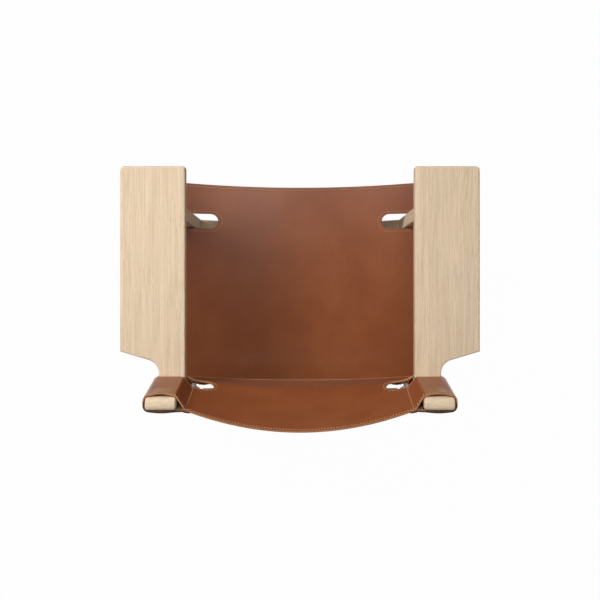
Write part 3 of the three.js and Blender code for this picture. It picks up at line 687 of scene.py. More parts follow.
@dataclass
class Build:
    """Corners, faces and the finish of each face, gathered before they become one object."""

    corners: list[Points] = field(default_factory=list)
    normals: list[Points] = field(default_factory=list)
    faces: list[tuple[int, ...]] = field(default_factory=list)
    finishes: list[int] = field(default_factory=list)
    count: int = 0

    def add(
        self, corners: Points, normals: Points, faces: Iterable[Sequence[int]] = (), finish: int = 0
    ) -> int:
        """Adds a patch of surface.

        Args:
            corners: its corners.
            normals: the direction that the surface faces at each corner.
            faces: its faces, as numbers of its own corners.
            finish: the number of its material.

        Returns:
            The number that its first corner has in the whole.
        """
        start = self.count
        self.corners.append(np.asarray(corners, float))
        self.normals.append(np.asarray(normals, float))
        self.count += len(corners)
        self.face(([i + start for i in one] for one in faces), finish)
        return start

    def face(self, faces: Iterable[Sequence[int]], finish: int = 0) -> None:
        """Adds faces between corners that are there already."""
        for one in faces:
            self.faces.append(tuple(one))
            self.finishes.append(finish)

    def make(
        self,
        name: str,
        materials: Sequence[bpy.types.Material],
        slot: str = "",
        body: str = BODY,
        stands_for: str = "",
    ) -> bpy.types.Object:
        """Turns the patches into one object.

        Args:
            name: the piece's name.
            materials: the materials that the faces' numbers stand for.
            slot: not used.
            body: the body that it rides on.
            stands_for: the frame node that it replaces, if any.

        Returns:
            The new object.
        """
        mesh = bpy.data.meshes.new(name)
        mesh.from_pydata((np.concatenate(self.corners) * MM).tolist(), [], self.faces)
        for material in materials:
            mesh.materials.append(material)
        mesh.polygons.foreach_set("material_index", self.finishes)
        mesh.polygons.foreach_set("use_smooth", [True] * len(mesh.polygons))
        mesh.update()
        facing = np.concatenate(self.normals)
        facing /= np.maximum(np.linalg.norm(facing, axis=1, keepdims=True), TINY)
        mesh.normals_split_custom_set_from_vertices(facing.tolist())
        made = add_object(name, mesh)
        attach(made, body)
        if stands_for:
            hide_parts(stands_for)
        log.info("%s: %d faces", name, len(self.faces))
        return made


class Side(IntEnum):
    """The sides of a cut of leather, as the numbers of their finishes."""

    GRAIN = 0
    FLESH = 1
    EDGE = 2
    # painted shade on the cut edge's lower half and on edges that lie in shadow
    PAINTED_SHADE = 3


@dataclass
class Panel:
    """A piece cut from a hide: a flat outline with a thickness and rubbed edges, laid on a surface."""

    surface: Surface
    outline: Points  # anticlockwise
    columns: Points  # places along the panel with inner points
    thickness: float
    openings: list[Points] = field(default_factory=list)  # clockwise
    rounding: float = 1.0  # radius of the rubbed edges
    row_pitch: float = 7.0
    round_steps: int = 3
    inner_gap: float = 1.6  # from the edge to the nearest inner point, as a share of the rounding
    shave: Line | None = None  # how much is pared off, at points of the flat cut
    painted_shade_beyond: float = math.inf  # how far from the middle the whole cut edge gets painted shade

    def levels(self, flat: Points) -> tuple[Points, Points]:
        """Gives the heights of the grain side and of the flesh side over the middle."""
        half = np.full(len(flat), self.thickness / 2)
        return half - (self.shave(flat) if self.shave else 0), -half

    def inner_points(self, loops: Sequence[Points]) -> Points:
        """Gives the points of the panel's faces that don't lie on its edges.

        Args:
            loops: its outline and openings.

        Returns:
            The points, as places on the flat cut.
        """
        low, high = self.outline[:, 1].min(), self.outline[:, 1].max()
        rows = np.linspace(low, high, max(2, round((high - low) / self.row_pitch)) + 1)
        grid = np.stack(np.meshgrid(self.columns, rows), axis=2).reshape(-1, 2)
        grid = grid[inside(grid, loops)]
        return grid[clearance(grid, loops) > self.inner_gap * self.rounding]

    def triangles(self, loops: Sequence[Points]) -> tuple[Points, Points, list[int]]:
        """Cuts the panel's face into triangles.

        Args:
            loops: its outline and openings, moved in from the edge.

        Returns:
            The points, the triangles, and the number of the point at each place of the loops.
        """
        points = np.concatenate([*loops, self.inner_points(loops)])
        edges, start = [], 0
        for loop in loops:
            edges += [(start + i, start + (i + 1) % len(loop)) for i in range(len(loop))]
            start += len(loop)
        flat, _, faces, sources, _, _ = delaunay_2d_cdt([Vector(p) for p in points], edges, [], 0, SAME, True)
        flat, faces = np.array([tuple(p) for p in flat]), np.array(faces)
        faces = faces[inside(flat[faces].mean(axis=1), loops)]
        a, b, c = (flat[faces[:, i]] for i in range(3))
        turn = (b[:, 0] - a[:, 0]) * (c[:, 1] - a[:, 1]) - (b[:, 1] - a[:, 1]) * (c[:, 0] - a[:, 0])
        faces[turn < 0] = faces[turn < 0][:, ::-1]
        number = {old: new for new, olds in enumerate(sources) for old in olds}
        return flat, faces[np.abs(turn) > TINY], [number[i] for i in range(start)]

    def build(self, into: Build) -> None:
        """Adds the panel.

        Args:
            into: where it is gathered.
        """
        loops = [self.outline, *self.openings]
        ways = [outward(loop) for loop in loops]
        flat, faces, number = self.triangles([loop - way * self.rounding for loop, way in zip(loops, ways)])
        top, bottom = self.levels(flat)
        place, _, _, facing = self.surface.at(flat, top)
        upper = into.add(place, facing, faces.tolist(), Side.GRAIN)
        place = self.surface.at(flat, bottom)[0]
        lower = into.add(place, -facing, faces[:, ::-1].tolist(), Side.FLESH)
        start = 0
        for loop, way in zip(loops, ways):
            ring = number[start : start + len(loop)]
            self.build_rim(into, loop, way, [upper + i for i in ring], [lower + i for i in ring])
            start += len(loop)

    def build_rim(self, into: Build, loop: Points, way: Points, first: list[int], last: list[int]) -> None:
        """Adds the rounded edge along one loop.

        Args:
            into: where the panel is gathered.
            loop: the edge's points.
            way: the direction out of the leather at each.
            first: the corners of the grain side along it.
            last: the corners of the flesh side along it.
        """
        half, r, n = self.thickness / 2, self.rounding, len(loop)
        quarter = np.linspace(math.pi / 2, 0, self.round_steps + 1)[1:]
        profile = [(angle, half - r) for angle in quarter] + [(-angle, r - half) for angle in quarter[::-1]]
        rings = [first]
        for angle, middle in profile:
            inset = loop - way * r * (1 - math.cos(angle))
            top, bottom = self.levels(inset)
            share = (middle + r * math.sin(angle) + half) / self.thickness
            place, run, rise, out = self.surface.at(inset, bottom + (top - bottom) * share)
            side = run * way[:, :1] + rise * way[:, 1:]
            begin = into.add(place, side * math.cos(angle) + out * math.sin(angle))
            rings.append(list(range(begin, begin + n)))
        rings.append(last)
        # Painted shade: the cut edge's lower half, and the whole edge from that distance on, take the dark
        # shade colour.
        dark = np.abs(loop[:, 0]) >= self.painted_shade_beyond
        for k, (high, low) in enumerate(zip(rings, rings[1:])):
            band = [(high[i], low[i], low[(i + 1) % n], high[(i + 1) % n]) for i in range(n)]
            cut = Side.PAINTED_SHADE if k > self.round_steps else Side.EDGE
            into.face([band[i] for i in np.flatnonzero(~dark)], cut if k else Side.GRAIN)
            into.face([band[i] for i in np.flatnonzero(dark)], Side.PAINTED_SHADE if k else Side.GRAIN)


@dataclass
class Stitching:
    """A row of saddle stitches: short lengths of thread that dip into the leather at both ends."""

    # Real stitches are 5 mm apart. They are drawn further apart and the thread a little thicker,
    # or the row would blur into a plain line.
    pitch: float = 6.4
    share: float = 0.56  # of the pitch that the thread shows
    hole: float = 0.2  # radius of the disc of painted shade at a needle's hole, as a share of the pitch
    hole_lift: float = 0.06  # clear of the leather, so that the hole's painted shade shows
    radius: float = 0.95
    least_girth: float = 0.25  # of the thread where it enters the leather, as a share of the radius
    sunk: float = 0.35  # how deep its ends lie, as a share of the radius
    end_facing: float = 0.6  # how much its ends face along the row
    slant: float = 10.0  # degrees off the line of the row
    sides: int = 6
    rings: int = 4

    def sew(self, into: Build, panel: Panel, line: Points, upper: bool = True) -> None:
        """Adds the stitches along a line of the flat cut.

        Args:
            into: where they are gathered.
            panel: the leather that they go through.
            line: the row, as points of the flat cut.
            upper: whether they lie on the grain side.
        """
        run = run_of(line)
        count = max(2, round(run[-1] / self.pitch))
        stops = (np.arange(count) + 0.5) * run[-1] / count
        places = np.stack([np.interp(stops, run, line[:, k]) for k in (0, 1)], axis=1)
        step = way_of(places)
        centre, along, rise, facing = panel.surface.at(places, panel.levels(places)[0 if upper else 1])
        way = along * step[:, :1] + rise * step[:, 1:]
        out = facing if upper else -facing
        side = np.cross(out, way)
        turn = math.radians(self.slant)
        way, side = way * math.cos(turn) + side * math.sin(turn), side * math.cos(turn) - way * math.sin(turn)
        half = self.pitch * self.share / 2
        turns = np.linspace(0, 2 * math.pi, self.sides, endpoint=False)
        corners, normals = [], []
        for angle in np.linspace(0, math.pi, self.rings + 1):
            reach, girth = -half * math.cos(angle), max(self.least_girth, math.sin(angle)) * self.radius
            dip = -self.sunk * self.radius * math.cos(angle) ** 2
            for around in turns:
                spread = side * math.cos(around) + out * math.sin(around)
                corners.append(centre + way * reach + out * dip + spread * girth)
                normals.append(spread * math.sin(angle) - way * math.cos(angle) * self.end_facing)
        n, per = self.sides, self.sides * (self.rings + 1)
        tube = [(r * n + s, r * n + (s + 1) % n, (r + 1) * n + (s + 1) % n, (r + 1) * n + s)
                for r in range(self.rings) for s in range(n)]
        ends = [tuple(range(n))[::-1], tuple(range(per - n, per))]
        faces = [tuple(i * per + c for c in one) for i in range(count) for one in [*tube, *ends]]
        into.add(np.stack(corners, axis=1).reshape(-1, 3), np.stack(normals, axis=1).reshape(-1, 3), faces)
        # Painted shade: a dark disc at each needle's hole, between two stitches.
        middle, radius = centre + way * self.pitch / 2 + out * self.hole_lift, self.hole * self.pitch
        hole_shades = np.stack([middle + (way * math.cos(a) + side * math.sin(a)) * radius for a in turns], axis=1)
        rings = [tuple(range(i * n, i * n + n)) for i in range(count)]
        into.add(hole_shades.reshape(-1, 3), np.repeat(out, n, axis=0), rings, 1)


def sweep(
    into: Build,
    line: Points,
    side: Points,
    up: Points,
    sizes: Points,
    closed: bool,
    square: float = 2.0,
    sides: int = 16,
) -> None:
    """Adds a bar with a rounded section that follows a line.

    Args:
        into: where it is gathered.
        line: the points of its middle.
        side: the direction of the section's first axis at each point.
        up: the direction of its second axis.
        sizes: half of the section's size along both axes, at each point.
        closed: whether the end joins the start.
        square: 2 for an oval section, more for a squarer one.
        sides: the number of faces round it.
    """
    angles = np.linspace(0, 2 * math.pi, sides, endpoint=False)
    wave = np.stack([np.cos(angles), np.sin(angles)])
    section = np.sign(wave) * np.abs(wave) ** (2 / square)
    slope = np.sign(wave) * np.abs(wave) ** (2 - 2 / square)
    a, b = sizes[:, :1, None], sizes[:, 1:, None]
    spread = side[:, None, :] * a * section[0][:, None] + up[:, None, :] * b * section[1][:, None]
    normals = side[:, None, :] * slope[0][:, None] / a + up[:, None, :] * slope[1][:, None] / b
    n = len(line)
    faces = []
    for r in range(n if closed else n - 1):
        here, there = r * sides, (r + 1) % n * sides
        for k in range(sides):
            ahead = (k + 1) % sides
            faces.append((here + k, here + ahead, there + ahead, there + k))
    if not closed:
        faces += [tuple(range(sides))[::-1], tuple(range((n - 1) * sides, n * sides))]
    if float(np.dot(np.cross(side[0], up[0]), line[1] - line[0])) < 0:
        faces = [one[::-1] for one in faces]
    into.add((line[:, None, :] + spread).reshape(-1, 3), normals.reshape(-1, 3), faces)


# The frame's sizes


def node_box(name: str) -> tuple[list[float], list[float]]:
    """Gives the lowest and the highest corner of a frame node in millimetres."""
    low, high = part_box(name)
    return [c / MM for c in low], [c / MM for c in high]


@dataclass(frozen=True)
class Sizes:
    """The frame's sizes that the leather follows."""

    clear_half: float  # from the middle to the inner faces of the posts and legs
    height: float
    arm_top: float
    arm_bottom: float
    leg_ground: float
    foot_front_y: float
    post_width: float
    front_leg_y: float
    front_leg_thickness: float
    rail_inner: float
    rail_width: float
    seat_front_y: float
    seat_top: float
    knee_y: float
    top_y: float = 215.5
    post_thickness: float = 28.0
    post_edge: float = 6.0
    rail_height: float = 46.0
    rail_edge: float = 8.0
    slope: float = 5.73  # degrees
    leather: float = 4.0
    wrap_gap: float = 0.5
    fit: float = 0.3

    @classmethod
    def measured(cls) -> "Sizes":
        """Takes the sizes from the frame's nodes.

        Returns:
            The sizes, with those that no node's box gives at their set values.
        """
        names = ("armrest_left", "rear_leg_left", "front_leg_left", "seat_rail_left")
        arm, post, leg, rail = (node_box(name) for name in names)
        return cls(
            clear_half=post[0][0],
            height=post[1][2],
            arm_top=arm[1][2],
            arm_bottom=arm[0][2],
            leg_ground=post[0][2],
            foot_front_y=post[1][1] - cls.post_thickness,
            post_width=post[1][0] - post[0][0],
            front_leg_y=leg[0][1],
            front_leg_thickness=leg[1][1] - leg[0][1],
            rail_inner=rail[0][0],
            rail_width=rail[1][0] - rail[0][0],
            seat_front_y=rail[0][1] + cls.rail_height * math.sin(math.radians(cls.slope)),
            seat_top=rail[1][2],
            knee_y=post[0][1],
        )

    @property
    def lower_lean(self) -> float:
        """How far the rear leg leans back for each millimetre down from the armrest."""
        return (self.foot_front_y - self.knee_y) / (self.arm_bottom - self.leg_ground)

    @property
    def seat_frame(self) -> Matrix:
        """Turns the level drawing of the seat into its place in the chair."""
        turn = Matrix.Rotation(math.radians(-self.slope), 4, "X")
        return Matrix.Translation((0, self.seat_front_y, self.seat_top)) @ turn

    def post_front(self, z: float) -> float:
        """Gives the front face of the rear leg.

        Args:
            z: the height.

        Returns:
            Its place from front to back.
        """
        upper = (self.top_y - self.knee_y) / (self.height - self.arm_top)
        below, above = max(0.0, self.arm_bottom - z), max(0.0, z - self.arm_top)
        return self.knee_y + self.lower_lean * below + upper * above

    def along_seat(self, y: float, depth: float | Points) -> float | Points:
        """Gives the distance along the seat of a place, at a depth below its top."""
        turn = math.radians(self.slope)
        return (y - self.seat_front_y + depth * math.sin(turn)) / math.cos(turn)

    def seat_to_leg(self) -> float:
        """Gives the distance along the seat's top at which it meets the rear leg.

        Returns:
            That distance, with the fit left open.
        """
        turn = math.radians(self.slope)
        reach = self.post_front(self.seat_top) - self.fit - self.seat_front_y
        return reach / (math.cos(turn) - self.lower_lean * math.sin(turn))


# Slings


@dataclass
class Sling:
    """One of the chair's two large hides, with what both have in common."""

    sizes: Sizes
    palette: Palette
    border: float = 6.8  # from the cut edge to the row of stitches
    wider: float = 0.5  # how much of that is added at the round end of a slot
    corner: float = 7.0
    corner_steps: int = 5
    edge_pitch: float = 3.0
    end_steps: int = 14
    end_gap: float = 1.0  # from a slot's round end to the next point of its edge
    seam_pitch: float = 3.2
    seam_radius: float = 0.65

    def edge(self, low: float, high: float, place: float) -> Points:
        """Gives points along a straight end of the flat cut, from one row to another."""
        return straight((place, low), (place, high), max(2, round(abs(high - low) / self.edge_pitch)))

    def outline(
        self, surface: Surface, columns: Points, edges: Sequence[Line], slot_end: Points
    ) -> tuple[Points, Points]:
        """Draws the flat cut: a rectangle with a slot in from each end.

        Args:
            surface: the surface that it is laid on.
            columns: where along the sheet the edges have points.
            edges: the lower long edge, the slots' lower and upper edge and the upper long edge,
                each as the place across at each place along.
            slot_end: the round inner end of the slot on the positive side, from its lower edge to
                its upper one.

        Returns:
            The outline, anticlockwise, and at each point how far round the end of a slot it is,
            from 0 to 1.
        """
        r, end = self.corner, surface.length / 2
        low, slot_low, slot_high, high = edges
        near = columns[np.abs(columns) < end - r]
        outer = near[near > slot_end[0][0] + self.end_gap]
        levels = [float(line(np.array([end - r]))[0]) for line in edges]
        side = []
        for bottom, top in (levels[:2], levels[2:]):
            side += [
                arc((end - r, bottom + r), r, -90, 0, self.corner_steps),
                self.edge(bottom + r, top - r, end)[1:-1],
                arc((end - r, top - r), r, 0, 90, self.corner_steps),
            ]
        side.insert(3, np.stack([outer[::-1], slot_low(outer[::-1])], axis=1))
        side.insert(4, slot_end)
        side.insert(5, np.stack([outer, slot_high(outer)], axis=1))
        before = sum(len(part) for part in side[:4])
        side = np.concatenate(side)
        round_end = np.zeros(len(side))
        round_end[before : before + len(slot_end)] = np.sin(np.linspace(0, math.pi, len(slot_end)))
        front = np.stack([near, low(near)], axis=1)
        rear = np.stack([near[::-1], high(near[::-1])], axis=1)
        nothing = np.zeros(len(near))
        loop = np.concatenate([front, side, rear, side[::-1] * np.array([-1, 1])])
        return loop, np.concatenate([nothing, round_end, nothing, round_end[::-1]])

    def slot_end(self, centre: Sequence[float], radii: Sequence[float], place: OnCut) -> Points:
        """Draws the round inner end of a slot.

        Args:
            centre: the middle of its round end, in the chair.
            radii: its radius from side to side and half of its width, in the chair.
            place: the place on the flat cut of a place in the chair.

        Returns:
            Points of the flat cut, from the slot's lower edge to its upper one.
        """
        circle = arc((0, 0), 1, -90, -270, self.end_steps)
        return np.array([place(*(np.array(centre) + spot * np.array(radii))) for spot in circle])

    def make(
        self,
        name: str,
        panel: Panel,
        round_end: Points,
        rests_on: Sequence[str],
        seams: Sequence[Points] = (),
    ) -> None:
        """Builds the hide and its stitches.

        Args:
            name: the sling's name.
            panel: the hide.
            round_end: at each point of its outline how far round the end of a slot it is.
            rests_on: not used.
            seams: further rows of stitches, on the grain side.
        """
        hide, thread = Build(), Build()
        panel.build(hide)
        made = hide.make(f"{name}_hide", self.palette.hide, "sling_leather", stands_for=f"{name}_sling")
        inset = self.border * (1 + self.wider * round_end)
        row = panel.outline - outward(panel.outline) * inset[:, None]
        row = np.concatenate([row, row[:1]])
        for upper in (True, False):
            Stitching().sew(thread, panel, row, upper)
        for seam in seams:
            Stitching(pitch=self.seam_pitch, radius=self.seam_radius).sew(thread, panel, seam)
        stitches = thread.make(f"{name}_stitches", self.palette.sewn)
        area = area_of(panel.outline) * MM * MM


@dataclass
class SeatSling(Sling):
    """The seat: one hide hung between the side rails, slit for the front legs."""

    sag: float = 50.0
    front_overhang: float = 2.0
    front_hollow: float = 12.0
    rear_short: float = 5.0
    rear_full: float = 8.0
    flap: float = 55.0
    flap_relief: float = 5.0
    slot_inner: float = 57.5
    slot_front: float = 1.0
    slot_rear: float = 3.0
    spare: float = 60.0  # how far the surface runs on past the hide's edges
    # The fine steps of each stretch of the section, and how many make one step of the mesh
    sag_steps: tuple[int, int] = (600, 12)
    leave_steps: tuple[int, int] = (12, 4)
    bend_steps: tuple[int, int] = (40, 4)
    flap_steps: tuple[int, int] = (160, 14)

    def __post_init__(self) -> None:
        """Works out where the hide leaves the rails."""
        s = self.sizes
        self.radius = s.rail_edge + s.wrap_gap + s.leather / 2
        self.leave = math.atan(2 * self.sag / s.rail_inner)
        self.end_x = s.rail_inner + s.rail_edge - self.radius * math.sin(self.leave)
        self.end_z = self.radius * math.cos(self.leave) - s.rail_edge
        self.flap_z = -s.rail_height - s.wrap_gap - s.leather / 2
        self.flap_x = s.rail_inner - self.flap
        self.front_edge = -self.front_overhang
        self.rear_edge = s.seat_to_leg() - self.rear_short

    def sag_at(self, x: float | Points) -> float | Points:
        """Gives the height of the hide's middle at a distance from the middle of the chair."""
        return self.end_z - self.sag * (1 - (x / self.end_x) ** 2)

    def path(self) -> tuple[Points, Points]:
        """Draws the hide's section from side to side.

        Returns:
            Its points, and the numbers of those that the mesh uses.
        """
        s, r = self.sizes, self.radius
        sag, leave, bend, flap = self.sag_steps, self.leave_steps, self.bend_steps, self.flap_steps
        x = np.linspace(0, self.end_x, sag[0] + 1)
        edge, outer = s.rail_edge, s.rail_inner + s.rail_width - s.rail_edge
        start = 90 + math.degrees(self.leave)
        return joined(
            [
                (np.stack([x, self.sag_at(x)], axis=1), sag[1]),
                (arc((s.rail_inner + edge, -edge), r, start, 90, leave[0]), leave[1]),
                (arc((outer, -edge), r, 90, 0, bend[0]), bend[1]),
                (arc((outer, edge - s.rail_height), r, 0, -90, bend[0]), bend[1]),
                (straight((outer, self.flap_z), (self.flap_x, self.flap_z), flap[0]), flap[1]),
            ]
        )

    def build(self) -> None:
        """Builds the hide and its stitches."""
        s = self.sizes
        path, used = self.path()
        ends = (self.front_edge - self.spare, self.rear_edge + self.spare)
        rows = [np.stack([path[:, 0], np.full(len(path), along), path[:, 1]], axis=1) for along in ends]
        surface = Surface(ends, [moved(s.seat_frame, row) for row in rows])
        under = s.rail_inner + s.rail_width - s.rail_edge
        front, rear = s.front_leg_y - self.slot_front, s.front_leg_y + s.front_leg_thickness + self.slot_rear

        def place_at(u: Points, axis: int) -> Points:
            """Gives the section's place at distances along it, across or upwards."""
            return np.interp(u, surface.along, path[:, axis])

        def inwards(u: Points) -> Points:
            """Says how far in from the rails a place is, from 0 to 1."""
            return np.maximum(0, 1 - (place_at(u, 0) / self.end_x) ** 2)

        def slot_edge(y: float, relief: float) -> Line:
            """Gives one edge of the slots.

            Args:
                y: its place from front to back.
                relief: how much further forward it is cut in the flaps.

            Returns:
                The edge, as the place across at each place along the sheet.
            """

            def edge(u: Points) -> Points:
                """Gives the edge's place across at places along the sheet."""
                flap = (place_at(u, 1) < -s.rail_height) & (np.abs(place_at(u, 0)) < under)
                return s.along_seat(y, -place_at(u, 1)) - relief * flap

            return edge

        top = np.flatnonzero(path[:, 1] > -s.rail_edge - self.sag)
        top = top[np.abs(surface.along[top]) < self.end_x + self.radius]

        def on_cut(x: float, y: float) -> tuple[float, float]:
            """Gives the place on the flat cut of a place on the seat's top."""
            u = float(np.interp(x, path[top, 0], surface.along[top]))
            return u, float(slot_edge(y, 0)(np.array([u]))[0])

        radius = (rear - front) / 2
        centre = (s.clear_half - self.slot_inner + radius, (front + rear) / 2)
        edges = [
            lambda u: self.front_edge + self.front_hollow * inwards(u),
            slot_edge(front, self.flap_relief),
            slot_edge(rear, 0),
            lambda u: self.rear_edge + self.rear_full * inwards(u),
        ]
        slot_end = self.slot_end(centre, (radius, radius), on_cut)
        outline, round_end = self.outline(surface, surface.along[used], edges, slot_end)
        # The seat's whole cut edge gets painted shade.
        panel = Panel(surface, outline, surface.along[used], s.leather, painted_shade_beyond=0)
        self.make("seat", panel, round_end, ["seat_rail_left", "seat_rail_right"])


@dataclass
class BackSling(Sling):
    """The back: one hide with a sewn sleeve round each post and a tab under each armrest."""

    border: float = 6.2
    wider: float = 0.0
    top_below_post: float = 10.0
    slot_above: float = 5.0
    slot_below: float = 4.0
    tab: float = 104.0
    slot_inner: float = 64.5
    slot_round: float = 20.0
    seam_inset: float = 18.0
    join_inset: float = 13.5
    flap_inset: float = 30.0
    # The place behind the post's front face and the bow, at the foot of the tabs, at the slot's
    # lower and upper edge and at the top.
    places: tuple[float, ...] = (-9.0, 6.0, 18.0, 20.0)
    bows: tuple[float, ...] = (8.0, 23.0, 28.0, 54.0)
    skive: float = 12.0  # length over which the end of the sleeve's flap thins
    skived: float = 2.6  # how much of its thickness goes
    loose_below: float = 60.0  # how far down from its top the sleeve is slack
    loose: tuple[float, float, float] = (0.8, 1.2, 0.4)  # in front, outside and behind
    puff: float = 4.0  # how far its front bulges between the corners
    eased: float = 4.0  # how much rounder its corners become
    seam_end: float = 1.5  # from the top edge to the end of the sleeve's seam, in borders
    row_count: int = 74
    # The fine steps of each stretch of the section, and how many make one step of the mesh
    sheet_steps: tuple[int, int] = (400, 10)
    span_steps: tuple[int, int] = (60, 15)
    bend_steps: tuple[int, int] = (12, 3)
    face_steps: tuple[int, int] = (80, 10)
    corner_bend_steps: tuple[int, int] = (24, 4)
    side_steps: tuple[int, int] = (40, 20)
    flap_steps: tuple[int, int] = (40, 10)

    def __post_init__(self) -> None:
        """Works out the heights at which the sheet's place and bow are given."""
        s = self.sizes
        self.slot_top = s.arm_top + self.slot_above
        self.slot_bottom = s.arm_bottom - self.slot_below
        self.top = s.height - self.top_below_post
        self.bottom = self.slot_bottom - self.tab
        self.heights = (self.bottom, self.slot_bottom, self.slot_top, self.top)

    def base_at(self, z: float) -> float:
        """Gives the place of the sheet's sides at a height."""
        places = [self.sizes.post_front(h) + place for h, place in zip(self.heights, self.places)]
        return float(np.interp(z, self.heights, places))

    def back_at(self, z: float, x: float | Points) -> float | Points:
        """Gives the middle of the hide at a height and a distance from the chair's middle."""
        bow = float(np.interp(z, self.heights, self.bows))
        return self.base_at(z) + bow * (1 - (x / self.sizes.clear_half) ** 2)

    def path(self, z: float) -> tuple[Points, Points]:
        """Draws the hide's section at a height.

        Args:
            z: the height.

        Returns:
            Its points, and the numbers of those that the mesh uses.
        """
        s, edge = self.sizes, self.sizes.post_edge
        radius = edge + s.wrap_gap + s.leather / 2
        slack = np.clip((z - self.top + self.loose_below) / self.loose_below, 0, 1)
        ease = slack * slack * (3 - 2 * slack)
        ahead, aside, behind = (ease * gap for gap in self.loose)
        front = min(s.post_front(z), self.base_at(z) + s.wrap_gap + s.leather / 2) - ahead
        rear = s.post_front(z) + s.post_thickness + behind
        inner, outer = s.clear_half + edge, s.clear_half + s.post_width - edge + aside
        insets = (self.seam_inset, self.join_inset, self.flap_inset)
        seam_x, join_x, flap_x = (s.clear_half - inset for inset in insets)
        offset = s.leather + 2 * s.fit
        sheet, span, bend, face = self.sheet_steps, self.span_steps, self.bend_steps, self.face_steps
        turn, beside, lap = self.corner_bend_steps, self.side_steps, self.flap_steps
        x = np.linspace(0, seam_x, sheet[0] + 1)
        seam = (seam_x, self.back_at(z, seam_x))
        joint = (join_x, self.back_at(z, join_x) + offset)
        flap = (flap_x, self.back_at(z, flap_x) + offset)
        start = touch_angle(seam, (inner, front + edge), radius, 1)
        finish = touch_angle(joint, (inner, rear - edge), radius, -1)
        first = arc((inner, front + edge), radius, start, 270, bend[0])
        wide, centre = radius + ease * self.eased, outer - ease * self.eased
        corner = arc((centre, front + edge + ease * self.eased), wide, 270, 360, turn[0])
        rear_corner = arc((centre, rear - edge - ease * self.eased), wide, 0, 90, turn[0])
        last = arc((inner, rear - edge), radius, 90, finish, bend[0])
        return joined(
            [
                (np.stack([x, self.back_at(z, x)], axis=1), sheet[1]),
                (straight(seam, first[0], span[0]), span[1]),
                (first, bend[1]),
                (bowed(first[-1], corner[0], face[0], -ease * self.puff), face[1]),
                (corner, turn[1]),
                (straight(corner[-1], rear_corner[0], beside[0]), beside[1]),
                (rear_corner, turn[1]),
                (bowed(rear_corner[-1], last[0], face[0], ease * self.puff / 2), face[1]),
                (last, bend[1]),
                (straight(last[-1], joint, span[0]), span[1]),
                (straight(joint, flap, lap[0]), lap[1]),
            ]
        )

    def build(self) -> None:
        """Builds the hide and its stitches."""
        s = self.sizes
        heights = np.linspace(self.bottom, self.top, self.row_count)
        paths = [self.path(float(z)) for z in heights]
        used = paths[0][1]
        surface = Surface(heights, [np.insert(path, 2, z, axis=1) for (path, _), z in zip(paths, heights)])
        sheet = np.abs(surface.along) < s.clear_half - self.seam_inset
        x_row, u_row = surface.rows[0][sheet, 0], surface.along[sheet]
        centre = (s.clear_half - self.slot_inner + self.slot_round, (self.slot_top + self.slot_bottom) / 2)
        radii = (self.slot_round, (self.slot_top - self.slot_bottom) / 2)
        edges = [lambda u, z=z: np.full(len(u), z) for z in self.heights]
        slot_end = self.slot_end(centre, radii, lambda x, z: (float(np.interp(x, x_row, u_row)), z))
        outline, round_end = self.outline(surface, surface.along[used], edges, slot_end)

        def shave(flat: Points) -> Points:
            """Says how much is pared off, which is at the ends of the sleeves' flaps."""
            share = np.clip(1 - (surface.length / 2 - np.abs(flat[:, 0])) / self.skive, 0, 1)
            return self.skived * share * (flat[:, 1] > self.slot_top)

        # Beside and behind the post, the sleeve's whole cut edge gets painted shade, as it lies in shadow
        # there.
        row = surface.rows[-1]
        side = s.post_front(self.top) + s.post_edge + self.eased
        rear = (row[:, 0] > s.clear_half) & (row[:, 1] > side)
        painted_shade_beyond = surface.along[rear].min()
        panel = Panel(surface, outline, surface.along[used], s.leather, shave=shave, painted_shade_beyond=painted_shade_beyond)
        lowest, highest = self.slot_top + self.border, self.top - self.seam_end * self.border
        seams = [self.edge(lowest, highest, side * float(u_row[-1])) for side in (1, -1)]
        self.make("back", panel, round_end, ["rear_leg_left", "rear_leg_right"], seams)


# Closures


@dataclass(frozen=True)
class Place:
    """Where a closure's parts lie in its own plane: x outwards, y away from the leather."""

    surface: Callable[[float], Points]
    near: Points
    heel: Points
    far: Points
    flap_inner: Points
    flap_outer: Points


